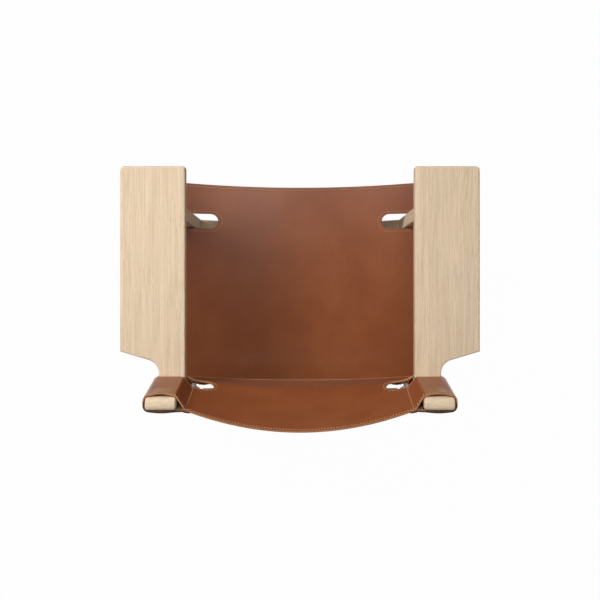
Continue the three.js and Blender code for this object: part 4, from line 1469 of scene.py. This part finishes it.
@dataclass
class Closure:
    """A strap, the buckle that it is drawn through, and the chape that holds the buckle."""

    label: str  # with KIND where the part's kind goes
    place: Place
    matrix: Matrix  # from the closure's plane to the chair, in millimetres
    palette: Palette
    width: float = 30.0
    strap_thickness: float = 3.5
    strap_rounding: float = 0.9  # radius of its rubbed edges
    tail: float = 48.0
    tip_taper: float = 12.0
    tip_share: float = 0.4
    tip_degrees: float = 70.0  # how far round its tip goes on each side
    chape_thickness: float = 3.0
    chape_rounding: float = 0.8
    chape_length: float = 40.0
    chape_upper: float = 16.0
    neck: float = 25.0
    wire: float = 5.0
    pitch: float = 30.0
    inner_half: float = 17.0
    bend: float = 4.5  # of the buckle's corners
    fit: float = 0.3
    prong_radius: float = 1.6
    prong_tip: float = 1.2
    ring_inner: float = 3.2
    ring_outer: float = 5.2
    ring_width: float = 4.0
    ring_end: float = 35.0  # degrees below straight ahead, where the ring ends
    ring_steps: int = 28
    pin_start: float = 4.0  # ahead of the heel bar
    pin_past: float = 3.0  # beyond the far bar
    pin_steps: int = 11
    rounded_by: float = 8.0  # length over which the flat ring turns into the round pin
    # The pin's round end: how far ahead and how thick each of its rings is, in its radii
    dome: tuple[tuple[float, float], ...] = ((0.5, 0.86), (0.87, 0.5), (0.99, 0.14))
    prong_square: float = 2.4
    prong_sides: int = 14
    bar_square: float = 2.6
    bar_pitch: float = 4.0
    corner: float = 2.5
    corner_steps: int = 4
    round_steps: int = 8
    edge_pitch: float = 3.0
    end_gap: float = 0.1  # from a path's end to the strip's
    first_column: float = 1.5  # from a strip's end to its first inner points
    row_pitch: float = 5.0
    rubbed_steps: int = 2
    slot_half: float = 3.2
    slot_share: float = 2 / 3  # of the buckle's pitch, where the strap's slot starts
    slot_below: float = 1.0
    slot_ahead: float = 2.0  # of the heel bar, where it ends
    opening_back: float = 3.0  # how far the chape's opening starts behind the bar, in slot halves
    spare_hole: float = 2.2
    spare_pitch: float = 11.0
    spare_start: float = 9.0
    sewn: tuple[float, float] = (4.0, 28.0)  # the sewn box, from the strap's end
    sewn_half: float = 11.0
    row_inset: float = 3.5
    row_gap: float = 2.0  # from the sewn box to the rows along the strap's edges
    row_end: float = 4.0  # from those to the taper of its tip
    row_step: float = 1.0
    stitch: float = 3.2
    thread_radius: float = 0.42
    lap_steps: int = 30
    bend_steps: int = 40
    join_steps: int = 12
    chape_rows: tuple[float, ...] = (4.0, 12.0)  # from the chape's upper end
    chape_under: tuple[float, ...] = (4.0, 12.0, 22.0)  # from its lower end
    keeper_back: float = 11.0
    keeper_half: float = 4.5
    keeper_thickness: float = 1.6
    keeper_room: float = 1.2  # beside the strap
    keeper_steps: int = 5
    keeper_square: float = 6.0

    def __post_init__(self) -> None:
        """Works out the buckle's directions and heights."""
        reach = self.place.far - self.place.heel
        tilt = math.atan2(reach[1], reach[0])
        self.ahead = np.array([math.cos(tilt), math.sin(tilt)])
        self.above = np.array([-math.sin(tilt), math.cos(tilt)])
        self.bar_half = self.wire / 2
        self.chape_round = self.ring_inner + self.chape_thickness / 2
        self.under = self.bar_half + self.fit + self.strap_thickness / 2
        self.over = self.chape_round + self.chape_thickness / 2 + 2 * self.fit + self.strap_thickness / 2
        self.turn = np.array(self.matrix.to_3x3())
        self.fine = Stitching(pitch=self.stitch, radius=self.thread_radius)

    def name(self, kind: str) -> str:
        """Gives the name of one of the closure's parts."""
        return self.label.replace("KIND", kind)

    def point(self, u: float, w: float) -> Points:
        """Gives a place along and above the buckle in the closure's plane."""
        return self.place.heel + self.ahead * u + self.above * w

    def to_chair(self, flat: Points, z: float | Points = 0.0) -> Points:
        """Moves points of the closure's plane, at a place across it, to the chair."""
        return moved(self.matrix, np.insert(flat, 2, z, axis=1))

    def turned(self, flat: Points, across: float | Points = 0.0) -> Points:
        """Turns directions along and above the buckle, and across it, to the chair."""
        level = flat[:, :1] * self.ahead + flat[:, 1:] * self.above
        return np.insert(level, 2, across, axis=1) @ self.turn.T

    def rounded(self, x: float, y: float, start: float) -> Points:
        """Gives a strip's round corner about a place, from an angle in degrees on."""
        return arc((x, y), self.corner, start, start + 90, self.corner_steps)

    def strip(
        self,
        path: Points,
        thickness: float,
        rounding: float,
        taper: float,
        holes: list[Points],
    ) -> Panel:
        """Cuts a strip of leather and lays it along a path.

        Args:
            path: the strip's middle in the closure's plane.
            thickness: how thick it is.
            rounding: the radius of its rubbed edges.
            taper: the length of its pointed end, or 0 for a square one.
            holes: its holes, clockwise.

        Returns:
            The strip.
        """
        reach = self.width / 2 + self.fit
        ends = (-reach, reach) if self.matrix.determinant() > 0 else (reach, -reach)
        surface = Surface((-reach, reach), [self.to_chair(path, z) for z in ends])
        half, end, r = self.width / 2, surface.length / 2 - self.end_gap, self.corner
        loop = [self.rounded(r - end, half - r, 90), self.rounded(r - end, r - half, 180)]
        if taper:
            tip_radius, turn = self.tip_share * half, self.tip_degrees
            tip = arc((end - tip_radius, 0), tip_radius, -turn, turn, self.round_steps)
            loop += [np.array([(end - taper, -half)]), tip, np.array([(end - taper, half)])]
        else:
            loop += [self.rounded(end - r, r - half, -90), self.rounded(end - r, half - r, 0)]
        outline = refine(np.concatenate(loop), self.edge_pitch)
        columns = np.arange(self.first_column - surface.length / 2, surface.length / 2, thickness / 2)
        steps, pitch = self.rubbed_steps, self.row_pitch
        return Panel(surface, outline, columns, thickness, holes, rounding, pitch, steps)

    def strap_path(self) -> Points:
        """Draws the strap's middle from the flap, through the buckle, to its tip.

        Returns:
            Its points in the closure's plane.
        """
        p = self.place
        on_chape = np.array([0, 2 * self.chape_thickness + self.fit + self.strap_thickness / 2])
        stops = [
            p.flap_outer,
            (p.flap_outer + p.flap_inner) / 2,
            p.flap_inner,
            self.point(self.pitch + self.bar_half + self.under, -self.under),
            self.point(self.pitch - self.wire, -self.under),
            self.point(self.pitch / 2, -self.bar_half),
            self.point(self.bar_half, self.over),
            self.point(-self.bar_half, self.over),
            p.near + on_chape,
            p.surface(p.near[0] - self.tail + self.neck) + on_chape,
        ]
        return smooth(np.array(stops))

    def chape_path(self) -> Points:
        """Draws the chape's middle: along the leather, round the heel bar and back.

        Returns:
            Its points in the closure's plane.
        """
        p, lift = self.place, np.array([0, self.chape_thickness + self.fit])
        under = touch_angle(p.near, p.heel, self.chape_round, 1)
        over = touch_angle(p.near + lift, p.heel, self.chape_round, -1)
        turn = arc(p.heel, self.chape_round, under, over + 360, self.bend_steps)
        upper_end, steps = p.surface(p.near[0] - self.chape_upper) + lift, self.join_steps
        stops = [
            straight(p.surface(p.near[0] - self.chape_length), p.near, self.lap_steps)[:-1],
            straight(p.near, turn[0], steps)[:-1],
            turn,
            straight(turn[-1], p.near + lift, steps)[1:],
            straight(p.near + lift, upper_end, steps)[1:],
        ]
        return np.concatenate(stops)

    def hole(self, start: float, end: float, half: float) -> Points:
        """Draws a punched hole with round ends along the middle of a strip.

        Args:
            start: the place of one end.
            end: the place of the other.
            half: half of its width.

        Returns:
            Its outline, clockwise.
        """
        right = arc((max(start, end) - half, 0), half, 90, -90, self.round_steps)
        left = arc((min(start, end) + half, 0), half, 270, 90, self.round_steps)
        return np.concatenate([right[:-1], left[:-1]])

    def place_on(self, path: Points, target: Points) -> float:
        """Gives the distance along a path, from its middle, of its point nearest to a place."""
        run = run_of(path)
        return float(run[int(np.argmin(np.linalg.norm(path - target, axis=1)))] - run[-1] / 2)

    def build_strip(self, kind: str, panel: Panel, rows: Sequence[tuple[Points, bool]]) -> None:
        """Builds a strip of leather and its stitches.

        Args:
            kind: which of the closure's parts it is.
            panel: the strip.
            rows: the corners of each row of stitches, and whether it lies on the strip's outer face.
        """
        leather, thread = Build(), Build()
        panel.build(leather)
        name = self.name(kind)
        leather.make(f"{name}_leather", self.palette.band, "strap_leather", stands_for=name)
        for row, upper in rows:
            self.fine.sew(thread, panel, refine(np.array(row), self.row_step, closed=False), upper)
        thread.make(f"{name}_stitches", self.palette.sewn)

    def build_strap(self) -> None:
        """Builds the strap with its slot, its spare holes and its stitches."""
        path = self.strap_path()
        entry = self.place_on(path, self.point(self.pitch * self.slot_share, -self.slot_below))
        leave = self.place_on(path, self.point(self.slot_ahead, self.over))
        radius, start = self.spare_hole, leave + self.spare_start
        spares = [start + self.spare_pitch * k for k in (1, 2)]
        holes = [self.hole(u - radius, u + radius, radius) for u in spares]
        holes.append(self.hole(entry, leave, self.slot_half))
        panel = self.strip(path, self.strap_thickness, self.strap_rounding, self.tip_taper, holes)
        half, w, side = panel.surface.length / 2, self.sewn_half, self.width / 2 - self.row_inset
        low, high = self.sewn[0] - half, self.sewn[1] - half
        rows = [([(low, -w), (high, -w), (high, w), (low, w), (low, -w)], True)]
        start, end = high + self.row_gap, half - self.row_end - self.tip_taper
        rows += [([(start, s * side), (end, s * side)], True) for s in (-1, 1)]
        self.build_strip("strap", panel, rows)

    def build_chape(self) -> None:
        """Builds the chape, sewn to the leather, with the opening for the prong's ring."""
        path = self.chape_path()
        run = run_of(path) - run_of(path)[-1] / 2
        bend = run[(path - self.place.heel) @ self.ahead > -self.opening_back * self.slot_half]
        opening = self.hole(bend[0], bend[-1], self.slot_half)
        panel = self.strip(path, self.chape_thickness, self.chape_rounding, 0, [opening])
        half, w = panel.surface.length / 2, self.width / 2 - self.row_inset
        rows = [([(half - u, -w), (half - u, w)], True) for u in self.chape_rows]
        rows += [([(u - half, -w), (u - half, w)], False) for u in self.chape_under]
        self.build_strip("chape", panel, rows)

    def build_buckle(self) -> None:
        """Builds the frame of the buckle as one bent bar."""
        half_u, half_z, r = self.pitch / 2, self.inner_half + self.bar_half, self.bend
        signs = ((1, 1), (-1, 1), (-1, -1), (1, -1))
        middles = [((half_u - r) * a, (half_z - r) * b) for a, b in signs]
        steps = self.round_steps
        bends = [arc(middle, r, 90 * k, 90 * k + 90, steps) for k, middle in enumerate(middles)]
        loop = refine(np.concatenate(bends), self.bar_pitch)
        way, none = outward(loop), np.zeros(len(loop))
        along = self.place.heel + self.ahead * (half_u + loop[:, :1])
        side = self.turned(np.column_stack([way[:, 0], none]), way[:, 1])
        up = self.turned(np.column_stack([none, none + 1]))
        bar, name, sizes = Build(), self.name("buckle"), np.full((len(loop), 2), self.bar_half)
        sweep(bar, self.to_chair(along, loop[:, 1]), side, up, sizes, True, self.bar_square)
        bar.make(f"{name}_frame", (self.palette.brass,), "brass", stands_for=name)

    def build_prong(self) -> None:
        """Builds the prong: a strip bent round the heel bar that runs out into a round pin."""
        middle, tip = (self.ring_inner + self.ring_outer) / 2, self.prong_tip
        height = self.bar_half + self.fit + self.prong_radius
        ring = arc((0, 0), middle, -self.ring_end, -270, self.ring_steps)
        end = self.pitch + self.pin_past - tip
        pin = straight((self.pin_start, height), (end, height), self.pin_steps)
        path = np.concatenate([ring, [(self.pin_start / 2, (middle + height) / 2)], pin])
        run = run_of(path)
        share = np.clip((run - run[len(ring) - 1]) / self.rounded_by, 0, 1)
        taper = np.clip((run - run[len(ring) + 1]) / (run[-1] - run[len(ring) + 1]), 0, 1)
        flat = np.array([(self.ring_outer - self.ring_inner) / 2, self.ring_width / 2])
        sizes = flat + (self.prong_radius - flat) * share[:, None]
        sizes -= (self.prong_radius - tip) * taper[:, None]
        ahead, thick = zip(*self.dome)
        path = np.concatenate([path, path[-1] + np.outer(ahead, (tip, 0))])
        sizes = np.concatenate([sizes, np.outer(thick, sizes[-1])])
        step = way_of(path)
        line = self.to_chair(self.place.heel + path[:, :1] * self.ahead + path[:, 1:] * self.above)
        side = self.turned(np.column_stack([-step[:, 1], step[:, 0]]))
        up = self.turned(np.zeros_like(path), 1.0)
        prong, name = Build(), self.name("prong")
        sweep(prong, line, side, up, sizes, False, self.prong_square, self.prong_sides)
        prong.make(f"{name}_pin", (self.palette.brass,), "brass", body=name, stands_for=name)

    def build_keeper(self) -> None:
        """Builds the small loop of leather that keeps the tail of the strap down."""
        x, t = self.place.near[0] - self.keeper_back, self.keeper_thickness
        base = self.place.surface(x)[1] - self.chape_thickness / 2
        top = base + 2 * self.chape_thickness + 3 * self.fit + self.strap_thickness + t / 2
        half = self.width / 2 + self.keeper_room
        foot = base + t / 2 + self.fit
        ends = ((half - t, 0), (t - half, 90))
        corners = [arc((place, top - t), t, start, start + 90, self.keeper_steps) for place, start in ends]
        loop = np.concatenate([*corners, [(-half, foot), (half, foot)]])
        loop = refine(loop, self.edge_pitch, closed=False)
        step = way_of(loop)
        line = self.to_chair(np.column_stack([np.full(len(loop), x), loop[:, 1]]), loop[:, 0])
        side = np.column_stack([np.zeros(len(loop)), -step[:, 0], step[:, 1]]) @ self.turn.T
        up = np.broadcast_to(self.turn @ np.array([1.0, 0, 0]), side.shape)
        keeper = Build()
        sizes = np.full((len(loop), 2), (t / 2, self.keeper_half))
        sweep(keeper, line, side, up, sizes, False, self.keeper_square)
        keeper.make(self.name("keeper"), (self.palette.strap,), "strap_leather")

    def build(self) -> None:
        """Builds all parts of the closure."""
        self.build_strap()
        self.build_chape()
        self.build_buckle()
        self.build_prong()
        self.build_keeper()


@dataclass
class Closures:
    """All eight closures: three on each side under the seat and one behind each back tab."""

    seat: SeatSling
    back: BackSling
    shares: tuple[tuple[str, float], ...] = (("middle", 0.2), ("rear", 0.8))
    overrun: float = 6.0
    on_flap: float = 34.0
    on_sleeve: float = 7.0  # how far the back's strap starts inwards of the sleeve's joint
    back_lift: float = 0.5
    chape: float = Closure.chape_thickness
    strap: float = Closure.strap_thickness

    def seat_place(self) -> Place:
        """Gives where the parts of a closure under the seat lie.

        Returns:
            Their places, the same for all six.
        """
        s, seat = self.seat.sizes, self.seat
        clear = s.fit + self.chape / 2
        level = s.leather / 2 - seat.flap_z + s.fit + self.strap / 2
        flap_inner = np.array([seat.flap_x - self.overrun, level])
        heel_x = seat.flap_x - 2 * Closure.pitch - self.overrun

        def surface(x: float) -> Points:
            """Gives the middle of the chape where it lies on the seat's underside."""
            return np.array([x, s.leather / 2 - seat.sag_at(x) + clear])

        near = surface(heel_x - Closure.neck)
        start = near + np.array([0, self.chape / 2])
        heel = start + (flap_inner - start) * (heel_x - near[0]) / (flap_inner[0] - near[0])
        flap_outer = np.array([seat.flap_x + self.on_flap, level])
        return Place(surface, near, heel, flap_inner, flap_inner, flap_outer)

    def back_place(self, z: float) -> Place:
        """Gives where the parts of the closure behind a back tab lie.

        Args:
            z: the height of the strap's middle.

        Returns:
            Their places.
        """
        s, back = self.back.sizes, self.back
        ends = (z - Closure.width / 2, z + Closure.width / 2)
        clear = s.fit + self.chape / 2
        bar = Closure.wire / 2 + s.fit + self.strap / 2

        def rear(x: float) -> float:
            """Gives the hindmost place of the hide behind the strap."""
            return max(back.back_at(e, x) for e in ends) - back.base_at(z) + s.leather / 2 + self.back_lift

        def at(x: float, lift: float) -> Points:
            """Gives a place at a height over the hide's rear side."""
            return np.array([x, rear(x) + lift])

        on_flap = s.leather + 3 * s.fit + self.strap / 2
        flap_end = s.clear_half - back.flap_inset
        heel_x = flap_end - 2 * Closure.pitch
        over_chape = Closure.ring_inner + self.chape / 2
        return Place(
            lambda x: at(x, clear),
            at(heel_x - Closure.neck, clear),
            at(heel_x, over_chape + clear),
            at(heel_x + Closure.pitch, bar + self.strap / 2 + s.fit),
            at(flap_end - self.overrun, on_flap),
            at(s.clear_half - back.join_inset - self.on_sleeve, on_flap),
        )

    def build(self) -> None:
        """Builds all closures on both sides."""
        s, seat, back, palette = self.seat.sizes, self.seat, self.back, self.seat.palette
        tab_front = s.along_seat(s.front_leg_y, 0)
        tab_rear = s.along_seat(s.front_leg_y + s.front_leg_thickness, 0)
        alongs = {"front": tab_front / 2}
        alongs |= {name: tab_rear + (seat.rear_edge - tab_rear) * share for name, share in self.shares}
        z = back.slot_bottom - back.tab / 2
        for side, sign in (("left", 1), ("right", -1)):
            mirror = Matrix.Diagonal((sign, 1, 1, 1))
            for position, along in alongs.items():
                upright = Matrix.Translation((0, along, 0)) @ Matrix.Rotation(-math.pi / 2, 4, "X")
                matrix = mirror @ s.seat_frame @ upright
                Closure(f"seat_KIND_{position}_{side}", self.seat_place(), matrix, palette).build()
            matrix = mirror @ Matrix.Translation((0, back.base_at(z), z))
            Closure(f"back_KIND_{side}", self.back_place(z), matrix, palette).build()


# The wooden frame


@dataclass
class WoodFrame:
    """The oak frame, its beech dowels and its nylon glides."""

    sizes: Sizes
    palette: Palette
    smooth_below: float = 40.0  # degrees between two faces up to which their edge is smooth
    weld: float = 1e-6  # metres between two corners that are one
    seed_step: float = 1.7  # from one board's figure to the next one's

    def soft_edges(self) -> Tree:
        """Builds the step that shades rounded edges smoothly and leaves sharp ones sharp.

        Returns:
            A tree for the modifiers of the frame's nodes, whose own meshes stay as they are.
        """
        tree = bpy.data.node_groups.new("soft edges", "GeometryNodeTree")
        for way in ("INPUT", "OUTPUT"):
            tree.interface.new_socket("Geometry", in_out=way, socket_type="NodeSocketGeometry")
        given = {"Geometry": add_node(tree, "NodeGroupInput").outputs[0], "Distance": self.weld}
        welded = {"Geometry": add_node(tree, "GeometryNodeMergeByDistance", given).outputs[0]}
        faces = add_node(tree, "GeometryNodeSetShadeSmooth", welded, domain="FACE").outputs[0]
        angle = add_node(tree, "GeometryNodeInputMeshEdgeAngle").outputs["Unsigned Angle"]
        limit = {0: angle, 1: math.radians(self.smooth_below)}
        soft = add_node(tree, "FunctionNodeCompare", limit, operation="LESS_THAN").outputs[0]
        shading = {"Geometry": faces, "Shade Smooth": soft}
        edges = add_node(tree, "GeometryNodeSetShadeSmooth", shading, domain="EDGE").outputs[0]
        add_node(tree, "NodeGroupOutput", {0: edges})
        return tree

    def dress(self, name: str, material: bpy.types.Material, soft: Tree) -> None:
        """Gives a frame node its material and its shading.

        Args:
            name: the node's name.
            material: its finish.
            soft: the step that softens its edges.
        """
        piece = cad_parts[name]
        piece.data.materials.clear()
        piece.data.materials.append(material)
        piece.modifiers.new("soft edges", "NODES").node_group = soft
        piece.modifiers.new("even faces", "WEIGHTED_NORMAL").keep_sharp = True
        log.info("%s: %s", name, material.name)

    def build(self) -> None:
        """Dresses every node of the frame."""
        s, soft = self.sizes, self.soft_edges()
        leg_lean = -math.degrees(math.atan2(s.foot_front_y - s.top_y, s.height - s.leg_ground))
        boards = {
            "armrest": (Grain.ALONG, 0.0),
            "front_leg": (Grain.UPRIGHT, 0.0),
            "rear_leg": (Grain.UPRIGHT, leg_lean),
            "seat_rail": (Grain.ALONG, s.slope),
            "stretcher": (Grain.ACROSS, 0.0),
        }
        for seed, name in enumerate(sorted(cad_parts)):
            for kind, (grain, lean) in boards.items():
                if kind in name:
                    self.dress(name, SoapedOak(grain, lean, self.seed_step * seed).material(), soft)
            if "dowel" in name:
                self.dress(name, self.palette.beech, soft)
            elif "glide" in name:
                self.dress(name, self.palette.nylon, soft)


# The studio


def shown(tree: Tree) -> Socket:
    """Picks the rays that show the background.

    Args:
        tree: the node tree that asks.

    Returns:
        1 for the camera's own rays, for those by mirror and for those through glass, otherwise 0.
    """
    rays = add_node(tree, "ShaderNodeLightPath").outputs
    seen = rays["Is Camera Ray"]
    for kind in ("Is Glossy Ray", "Is Transmission Ray"):
        seen = add_node(tree, "ShaderNodeMath", {0: seen, 1: rays[kind]}, operation="MAXIMUM").outputs[0]
    return seen


@dataclass(frozen=True)
class Lamp:
    """A soft rectangular lamp; its places and sizes are in metres."""

    name: str
    place: tuple[float, float, float]
    size: tuple[float, float]
    watts: float
    target: tuple[float, float, float] = (0.0, 0.0, 0.35)
    colour: str = WHITE

    def build(self) -> None:
        """Hangs the lamp and aims it."""
        data = bpy.data.lights.new(self.name, "AREA")
        data.shape = "RECTANGLE"
        data.size, data.size_y = self.size
        data.energy = self.watts
        data.color = linear(self.colour)[:3]
        lamp = add_object(self.name, data)
        lamp.location = self.place
        lamp.rotation_euler = (Vector(self.target) - Vector(self.place)).to_track_quat("-Z", "Y").to_euler()
        lamp.visible_camera = False


@dataclass
class Studio:
    """The white floor, the soft lamps and the camera straight above the chair, in metres."""

    camera_place: tuple[float, float, float] = (0.0, 0.007, 2.58)
    lens: float = 54.23  # millimetres
    sensor: float = 36.0
    floor_half: float = 14.0
    clip: tuple[float, float] = (0.05, 50.0)  # the nearest and the farthest that the camera sees
    ambient: float = 0.13
    walls: Span = Span(0.05, 0.3, 1.0, 0.0)  # where the white walls end, as the height of a direction
    floor_tone: str = "#989898"
    glow: Span = Span(0.8, 3.0, 0.985)  # how much of the floor is its own white, by its distance
    lamps: tuple[Lamp, ...] = (
        Lamp("key", (2.05, -1.4, 2.35), (0.98, 0.98), 58),
        Lamp("overhead", (-0.5, -0.3, 2.65), (0.5, 0.8), 7),
        Lamp("front strip", (0.2, -0.56, 2.62), (1.5, 0.35), 15),
    )

    def build_floor(self) -> None:
        """Lays the white floor, which takes the chair's shadow and is clear from below."""
        material = blank_material("white studio floor")
        tree = material.node_tree
        shape = add_node(tree, "ShaderNodeNewGeometry").outputs
        reach = add_node(tree, "ShaderNodeVectorMath", {0: shape["Position"]}, operation="LENGTH")
        glow = add_node(tree, "ShaderNodeMapRange", self.glow.of(reach.outputs["Value"])).outputs[0]
        share = add_node(tree, "ShaderNodeMath", {0: glow, 1: shown(tree)}, operation="MULTIPLY").outputs[0]
        matt = add_node(tree, "ShaderNodeBsdfDiffuse", {"Color": self.floor_tone}).outputs[0]
        white = add_node(tree, "ShaderNodeEmission", {"Color": WHITE, "Strength": 1.0}).outputs[0]
        clear = add_node(tree, "ShaderNodeBsdfTransparent").outputs[0]
        top = add_node(tree, "ShaderNodeMixShader", {0: share, 1: matt, 2: white}).outputs[0]
        sides = {0: shape["Backfacing"], 1: top, 2: clear}
        whole = add_node(tree, "ShaderNodeMixShader", sides).outputs[0]
        add_node(tree, "ShaderNodeOutputMaterial", {"Surface": whole})
        mesh, r = bpy.data.meshes.new("floor"), self.floor_half
        mesh.from_pydata([(-r, -r, 0), (r, -r, 0), (r, r, 0), (-r, r, 0)], [], [(0, 1, 2, 3)])
        mesh.materials.append(material)
        add_object("floor", mesh)

    def build_world(self) -> None:
        """Sets the even light from all sides and the white that the camera sees past the floor."""
        world = bpy.data.worlds.new("studio")
        bpy.context.scene.world = world
        world.use_nodes = True
        tree = world.node_tree
        tree.nodes.clear()
        sky = add_node(tree, "ShaderNodeTexCoord").outputs["Generated"]
        height = add_node(tree, "ShaderNodeSeparateXYZ", {0: sky}).outputs["Z"]
        # White walls and a dark ceiling, which leaves the leather's sheen to the lamps.
        walls = add_node(tree, "ShaderNodeMapRange", self.walls.of(height)).outputs[0]
        share = add_node(tree, "ShaderNodeMath", {0: walls, 1: shown(tree)}, operation="MULTIPLY").outputs[0]
        even, white = (
            add_node(tree, "ShaderNodeBackground", {"Color": WHITE, "Strength": strength}).outputs[0]
            for strength in (self.ambient, 1.0)
        )
        mixed = add_node(tree, "ShaderNodeMixShader", {0: share, 1: even, 2: white}).outputs[0]
        add_node(tree, "ShaderNodeOutputWorld", {"Surface": mixed})

    def build_camera(self) -> None:
        """Hangs the camera over the chair, the front of the chair towards the top of the picture."""
        data = bpy.data.cameras.new("camera")
        data.lens, data.sensor_width = self.lens, self.sensor
        data.clip_start, data.clip_end = self.clip
        camera = add_object("camera", data)
        camera.location = self.camera_place
        camera.rotation_euler = (0, 0, math.pi)
        bpy.context.scene.camera = camera

    def build(self) -> None:
        """Builds the whole studio."""
        bpy.context.scene.view_settings.view_transform = "Standard"
        self.build_camera()
        self.build_world()
        self.build_floor()
        for lamp in self.lamps:
            lamp.build()


# The whole


def main() -> None:
    """Builds the studio, the wood and the leather in order."""
    Studio().build()
    sizes, palette = Sizes.measured(), Palette.mixed()
    WoodFrame(sizes, palette).build()
    seat, back = SeatSling(sizes, palette), BackSling(sizes, palette)
    for part in (seat, back, Closures(seat, back)):
        part.build()


if __name__ == "__main__":
    logging.basicConfig(level=logging.INFO, format="%(message)s")
    main()
